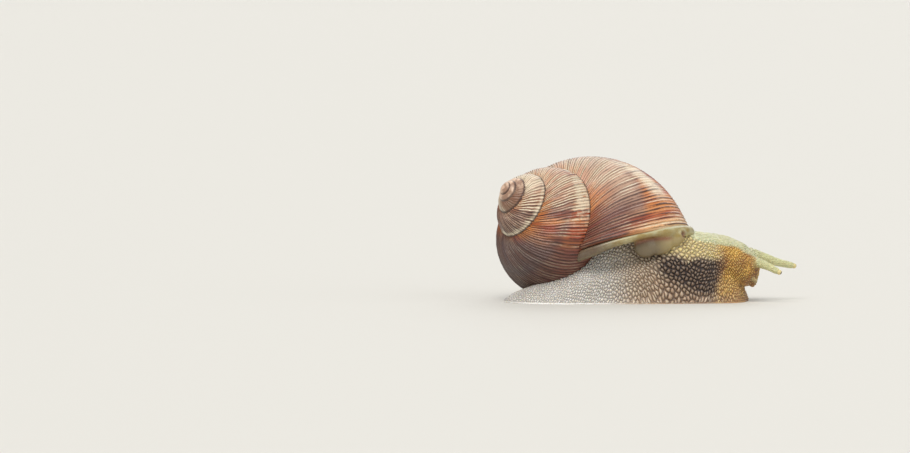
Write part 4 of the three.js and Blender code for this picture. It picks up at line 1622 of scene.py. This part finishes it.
@dataclass(frozen=True)
class MantleFinish:
    """Smooth wet mantle: yellow collar with fine speckles, greyer on its hanging fold."""

    yellow: str = "988245"
    cream: str = "b8b28c"
    fold: str = "75664c"
    fold_front: str = "a3905f"
    # painted shade under the roll, and the breathing hole's own red-brown
    brown: str = "7c4426"
    # the painted shade of the left end under the shell
    dusk: str = "5e4a3d"

    bump: tuple[float, float] = (0.35, 0.1)

    def material(self) -> bpy.types.Material:
        """Builds the finish, one layer of colour over another.

        Returns:
            The material.
        """
        made, tree = start_material("mantle")
        lobe, shade, edge = (tree.marked(name) for name in ("lobe", "shade", "edge"))
        near = tree.near()
        cloud, speck = tree.noise(near, 0.5, 3.0), tree.noise(near, 3.2, 2.0)
        x, _, _ = tree.parts(near)
        # yellow clouded with cream, and cream towards the top of the roll as a painted highlight
        colour = tree.mix(tree.smooth(cloud + edge * 0.4, 0.35, 0.8), self.yellow, self.cream)
        # painted shade on the left end, where the roll runs under the shell
        colour = tree.mix(tree.smooth(x, -1.0, -9.0) * 0.9, colour, self.dusk)
        fold = tree.mix(tree.smooth(x + cloud * 2, 5.0, 10.0), self.fold, self.fold_front)
        colour = tree.mix(lobe, colour, fold)
        # painted shade in the crease under the roll, and the breathing hole's own red-brown
        colour = tree.mix(shade * (0.6 + cloud * 0.5), colour, self.brown)
        colour = tree.mix(tree.smooth(speck, 0.6, 0.75) * (0.35 - lobe * 0.25), colour, self.cream)
        tree.surface(
            {
                "Base Color": colour,
                "Roughness": 0.3 + speck * 0.15,
                "Normal": tree.bump(speck, *self.bump),
                "Subsurface Weight": 0.15,
                "Subsurface Radius": (1.0, 0.6, 0.3),
                "Subsurface Scale": 0.8 * MM,
                "Coat Weight": 0.4,
                "Coat Roughness": 0.12,
            }
        )
        return made


@dataclass
class Mantle:
    """The soft rolled collar that fills the shell's mouth, with its hanging fold and the breathing hole."""

    shell: Shell
    sides: int = 96
    # the roll: its height, its bulge out of the shell's section, and how far inside its root and foot lie
    thick: float = 1.5
    bulge: float = 0.45
    root: float = 0.4
    inner: float = 1.7
    grain: float = 0.22
    # the gap to the shell's lip, and what the roll gains at the right front
    clear: float = 0.3
    front: float = 1.8
    # the swellings of the hanging fold: middle, half sizes and rise in degrees
    lobes: tuple = (
        ((2.6, -9.8, 12.4), (2.6, 1.3, 2.5), 2.0),
        ((5.6, -9.3, 12.9), (3.2, 1.3, 2.4), 12.0),
        ((8.6, -8.1, 13.8), (2.8, 1.2, 1.8), 24.0),
    )
    # the breathing hole, on the right side
    pore: tuple[float, float] = (11.0, 15.0)
    pore_depth: float = 1.1
    pore_radius: float = 0.75
    pore_rim: float = 0.2
    finish: MantleFinish = field(default_factory=MantleFinish)

    def section(self) -> list[tuple[float, float]]:
        """Sets out the collar's section, from inside the shell round the roll and back in.

        Returns:
            Pairs of how far out of the shell's section and how far below its mouth each point lies.
        """
        low = self.clear + self.thick
        rows = [(-6.0, -1.8), (-3.0, -1.4), (-self.inner, -0.6)]
        for lean in np.radians(np.linspace(-90, 90, 13)):
            out = -self.root + (self.bulge + self.root) * math.cos(lean)
            rows.append((out, self.clear + self.thick * (0.5 + 0.5 * math.sin(lean))))
        return rows + [(-self.inner, low - 0.1), (-4.5, low - 0.6)]

    def roll(self) -> tuple[np.ndarray, list]:
        """Carries the section round the shell's mouth, fuller to the right front.

        Returns:
            The collar's points in millimetres and its faces.
        """
        coil, mouth = self.shell.coil, self.shell.mouth
        angles = np.arange(self.sides) * TURN / self.sides
        lag = mouth.lag(coil, angles)
        rim = np.stack(coil.point(PlainSums, lag, angles), 1)
        ahead, behind = step(rim[:, 0], 2.0, 11.0), step(rim[:, 0], -4.0, -10.0)
        right = step(rim[:, 1], 1.0, -3.0)
        inward = units(rim.mean(0) - rim)
        rings = []
        for out, down in self.section():
            rolled = step(out, -1.2, -0.4)
            grow = max(out, -self.root) + self.front * ahead * right * rolled
            place = np.stack(coil.point(PlainSums, lag, angles, 1.0, grow), 1)
            place += inward * max(-self.root - out, 0)
            fuller = 1 + (ahead * right * 0.7 + behind * (right * 0.85 - 0.35)) * rolled
            deep = self.clear + (down - self.clear) * fuller
            rings.append(place + mouth.down() * deep[:, None])
        return loft(np.stack(rings))

    def pierce(self, piece: bpy.types.Object) -> tuple[np.ndarray, np.ndarray]:
        """Sinks the breathing hole into the collar, with a low rim round it.

        Args:
            piece: the collar.

        Returns:
            The points' new places in millimetres, and how far each lies from the hole's middle.
        """
        points, normals = points_of(piece), normals_of(piece)
        x, y, z = points.T
        apart = np.hypot(x - self.pore[0], z - self.pore[1]) + (y > -3.0) * 50
        away = np.linalg.norm(points - points[np.argmin(apart + y * 0.05)], axis=1)
        sunk = self.pore_depth * step(away, self.pore_radius, 0.1) - self.pore_rim * hill(away - 1.0, 0.3)
        points = points - normals * sunk[:, None]
        put_points(piece, points)
        return points, away

    def build(self) -> bpy.types.Object:
        """Builds the mantle.

        Returns:
            The dressed mantle.
        """
        mouth = self.shell.mouth
        piece = join("mantle_forms", [self.roll()] + [egg(*lobe) for lobe in self.lobes])
        remesh(piece, self.grain, 8)
        x, y, z = points_of(piece).T
        soften(piece, step(mouth.height(x, y) - z, 1.2, 2.0) * step(y, -4.0, -7.0), 12)
        points, away = self.pierce(piece)
        x, y, z = points.T
        below, right = mouth.height(x, y) - z, step(y, -4.0, -7.0)
        fold = 1.9 + 0.9 * step(x, 3.0, 9.0)
        # painted shade in the crease between the roll and the hanging fold, and the red-brown in and round
        # the breathing hole
        crease_shade = hill(below - fold - 0.25, 0.5) * right * step(x, -1.0, 1.0) * step(x, 9.5, 7.0)
        shade = np.maximum(crease_shade, hill(away, 0.85, 4))
        mark(piece, edge=step(below, 1.1, 0.5), lobe=step(below, fold, fold + 0.6) * right, shade=shade)
        piece.data.materials.append(self.finish.material())
        piece.data.shade_smooth()
        piece.name = "mantle_collar"
        return piece


# ---------------------------------------------------------------- the eyes


@dataclass(frozen=True)
class EyeFinish:
    """A dark eye spot seen through the clear tip of the tentacle."""

    dark: str = "17110e"
    clear: str = "d8c78a"

    def material(
        self, name: str, centre: np.ndarray, forward: np.ndarray, radius: float
    ) -> bpy.types.Material:
        """Builds the finish of one eye.

        Args:
            name: its name.
            centre: the eye's middle in millimetres.
            forward: the way it looks.
            radius: its radius.

        Returns:
            The material.
        """
        made, tree = start_material(name)
        place = tree.node("ShaderNodeTexCoord").outputs["Object"]
        inputs = {0: place, 1: Vector((centre + forward * radius) * MM)}
        away = tree.node("ShaderNodeVectorMath", {"operation": "DISTANCE"}, inputs).outputs["Value"]
        spot = tree.smooth(Value(tree, away) / MM, radius * 0.75, radius * 0.45)
        colour = tree.mix(spot, self.clear, self.dark)
        tree.surface({"Base Color": colour, "Roughness": 0.12, "Coat Weight": 0.6, "Coat Roughness": 0.05})
        return made


@dataclass
class Eye:
    """One eye, a small ball set in the tip of a long tentacle."""

    side: str
    feeler: Feeler
    radius: float = 0.58

    def build(self) -> bpy.types.Object:
        """Builds the eye.

        Returns:
            The dressed eye.
        """
        line = self.feeler.line(30)
        forward = line[-1] - line[-2]
        forward /= np.linalg.norm(forward)
        centre = line[-1] + forward * self.feeler.tip
        piece = join(f"eyeball_{self.side}", [egg(tuple(centre), (self.radius,) * 3)])
        material = EyeFinish().material(f"eye_{self.side}", centre, forward, self.radius)
        piece.data.materials.append(material)
        piece.data.shade_smooth()
        return piece


# ---------------------------------------------------------------- the studio


class Lamp(Enum):
    """The soft lights: where each comes from, its spread in degrees, its strength and colour."""

    KEY = ((-0.35, -0.7, 1.2), 45.0, 2.35, (1.0, 0.97, 0.93))
    FILL = ((1.0, -0.8, 0.5), 70.0, 0.7, (0.95, 0.97, 1.0))
    BACK = ((0.2, 1.0, 0.9), 60.0, 0.8, (1.0, 1.0, 1.0))


@dataclass
class Studio:
    """A plain pale floor, soft light and the camera."""

    # the camera: millimetres that it sees across, its lens, and where it looks
    view_width: float = 200.2
    lens: float = 200.0
    sensor: float = 36.0
    elevation: float = 3.0
    across: float = -38.94
    up: float = 16.28
    clip: tuple[float, float] = (0.01, 100.0)
    floor_half: float = 20.0
    floor_colour: str = "d9d7d0"
    floor_roughness: float = 0.7
    sky: tuple[float, float, float, float] = (0.92, 0.94, 0.96, 1.0)
    sky_strength: float = 0.35

    def build(self) -> None:
        """Builds the floor, the lights and the camera."""
        self.lay_floor()
        self.light()
        self.place_camera()

    def lay_floor(self) -> None:
        """Lays the floor under the sole."""
        half = self.floor_half
        corners = [(x * half, y * half, 0) for x, y in ((-1, -1), (1, -1), (1, 1), (-1, 1))]
        floor = make_piece("floor", np.array(corners), [(0, 1, 2, 3)])
        material = bpy.data.materials.new("floor")
        material.use_nodes = True
        shader = material.node_tree.nodes["Principled BSDF"]
        shader.inputs["Base Color"].default_value = paint(self.floor_colour)
        shader.inputs["Roughness"].default_value = self.floor_roughness
        floor.data.materials.append(material)

    def light(self) -> None:
        """Hangs the lamps and sets the light of the room."""
        for lamp in Lamp:
            place, spread, strength, colour = lamp.value
            data = bpy.data.lights.new(f"{lamp.name.lower()}_light", "SUN")
            data.angle, data.energy, data.color = math.radians(spread), strength, colour
            light = bpy.data.objects.new(data.name, data)
            light.location = place
            light.rotation_euler = (-Vector(place)).to_track_quat("-Z", "Y").to_euler()
            bpy.context.scene.collection.objects.link(light)
        world = bpy.data.worlds.new("studio")
        world.use_nodes = True
        sky = world.node_tree.nodes["Background"]
        sky.inputs[0].default_value = self.sky
        sky.inputs[1].default_value = self.sky_strength
        bpy.context.scene.world = world
        bpy.context.scene.view_settings.view_transform = "Standard"

    def place_camera(self) -> None:
        """Sets the camera to the right of the snail, a little above its level."""
        lift = math.radians(self.elevation)
        forward = Vector((0, math.cos(lift), -math.sin(lift)))
        above = Vector((0, math.sin(lift), math.cos(lift)))
        distance = self.view_width * self.lens / self.sensor
        place = Vector((self.across, 0, 0)) + above * self.up - forward * distance
        data = bpy.data.cameras.new("camera")
        data.lens, data.sensor_width = self.lens, self.sensor
        data.clip_start, data.clip_end = self.clip
        camera = bpy.data.objects.new("camera", data)
        camera.location = place * MM
        camera.rotation_euler = forward.to_track_quat("-Z", "Y").to_euler()
        bpy.context.scene.collection.objects.link(camera)
        bpy.context.scene.camera = camera


def main() -> None:
    """Builds the snail piece by piece and the studio round it."""
    logging.basicConfig(level=logging.INFO, format="%(message)s")
    Studio().build()
    shell = Shell()
    skin = Skin()
    soft = ["tail", "foot", "neck", "head", "tentacle_upper_left", "tentacle_upper_right"]
    soft += ["tentacle_lower_left", "tentacle_lower_right"]
    made = {
        "shell": (shell.build(), ["shell"]),
        "skin": (skin.build(), soft),
        "mantle": (Mantle(shell).build(), ["mantle"]),
    }
    for side in ("left", "right"):
        made[f"eye_{side}"] = (Eye(side, skin.feelers[f"upper_{side}"]).build(), [f"eye_{side}"])
    for name, (piece, nodes) in made.items():
        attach(piece, "root")
        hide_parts(*nodes)
        piece.data.calc_loop_triangles()
        LOG.info("%s: %d triangles", piece.name, len(piece.data.loop_triangles))


if __name__ == "__main__":
    main()
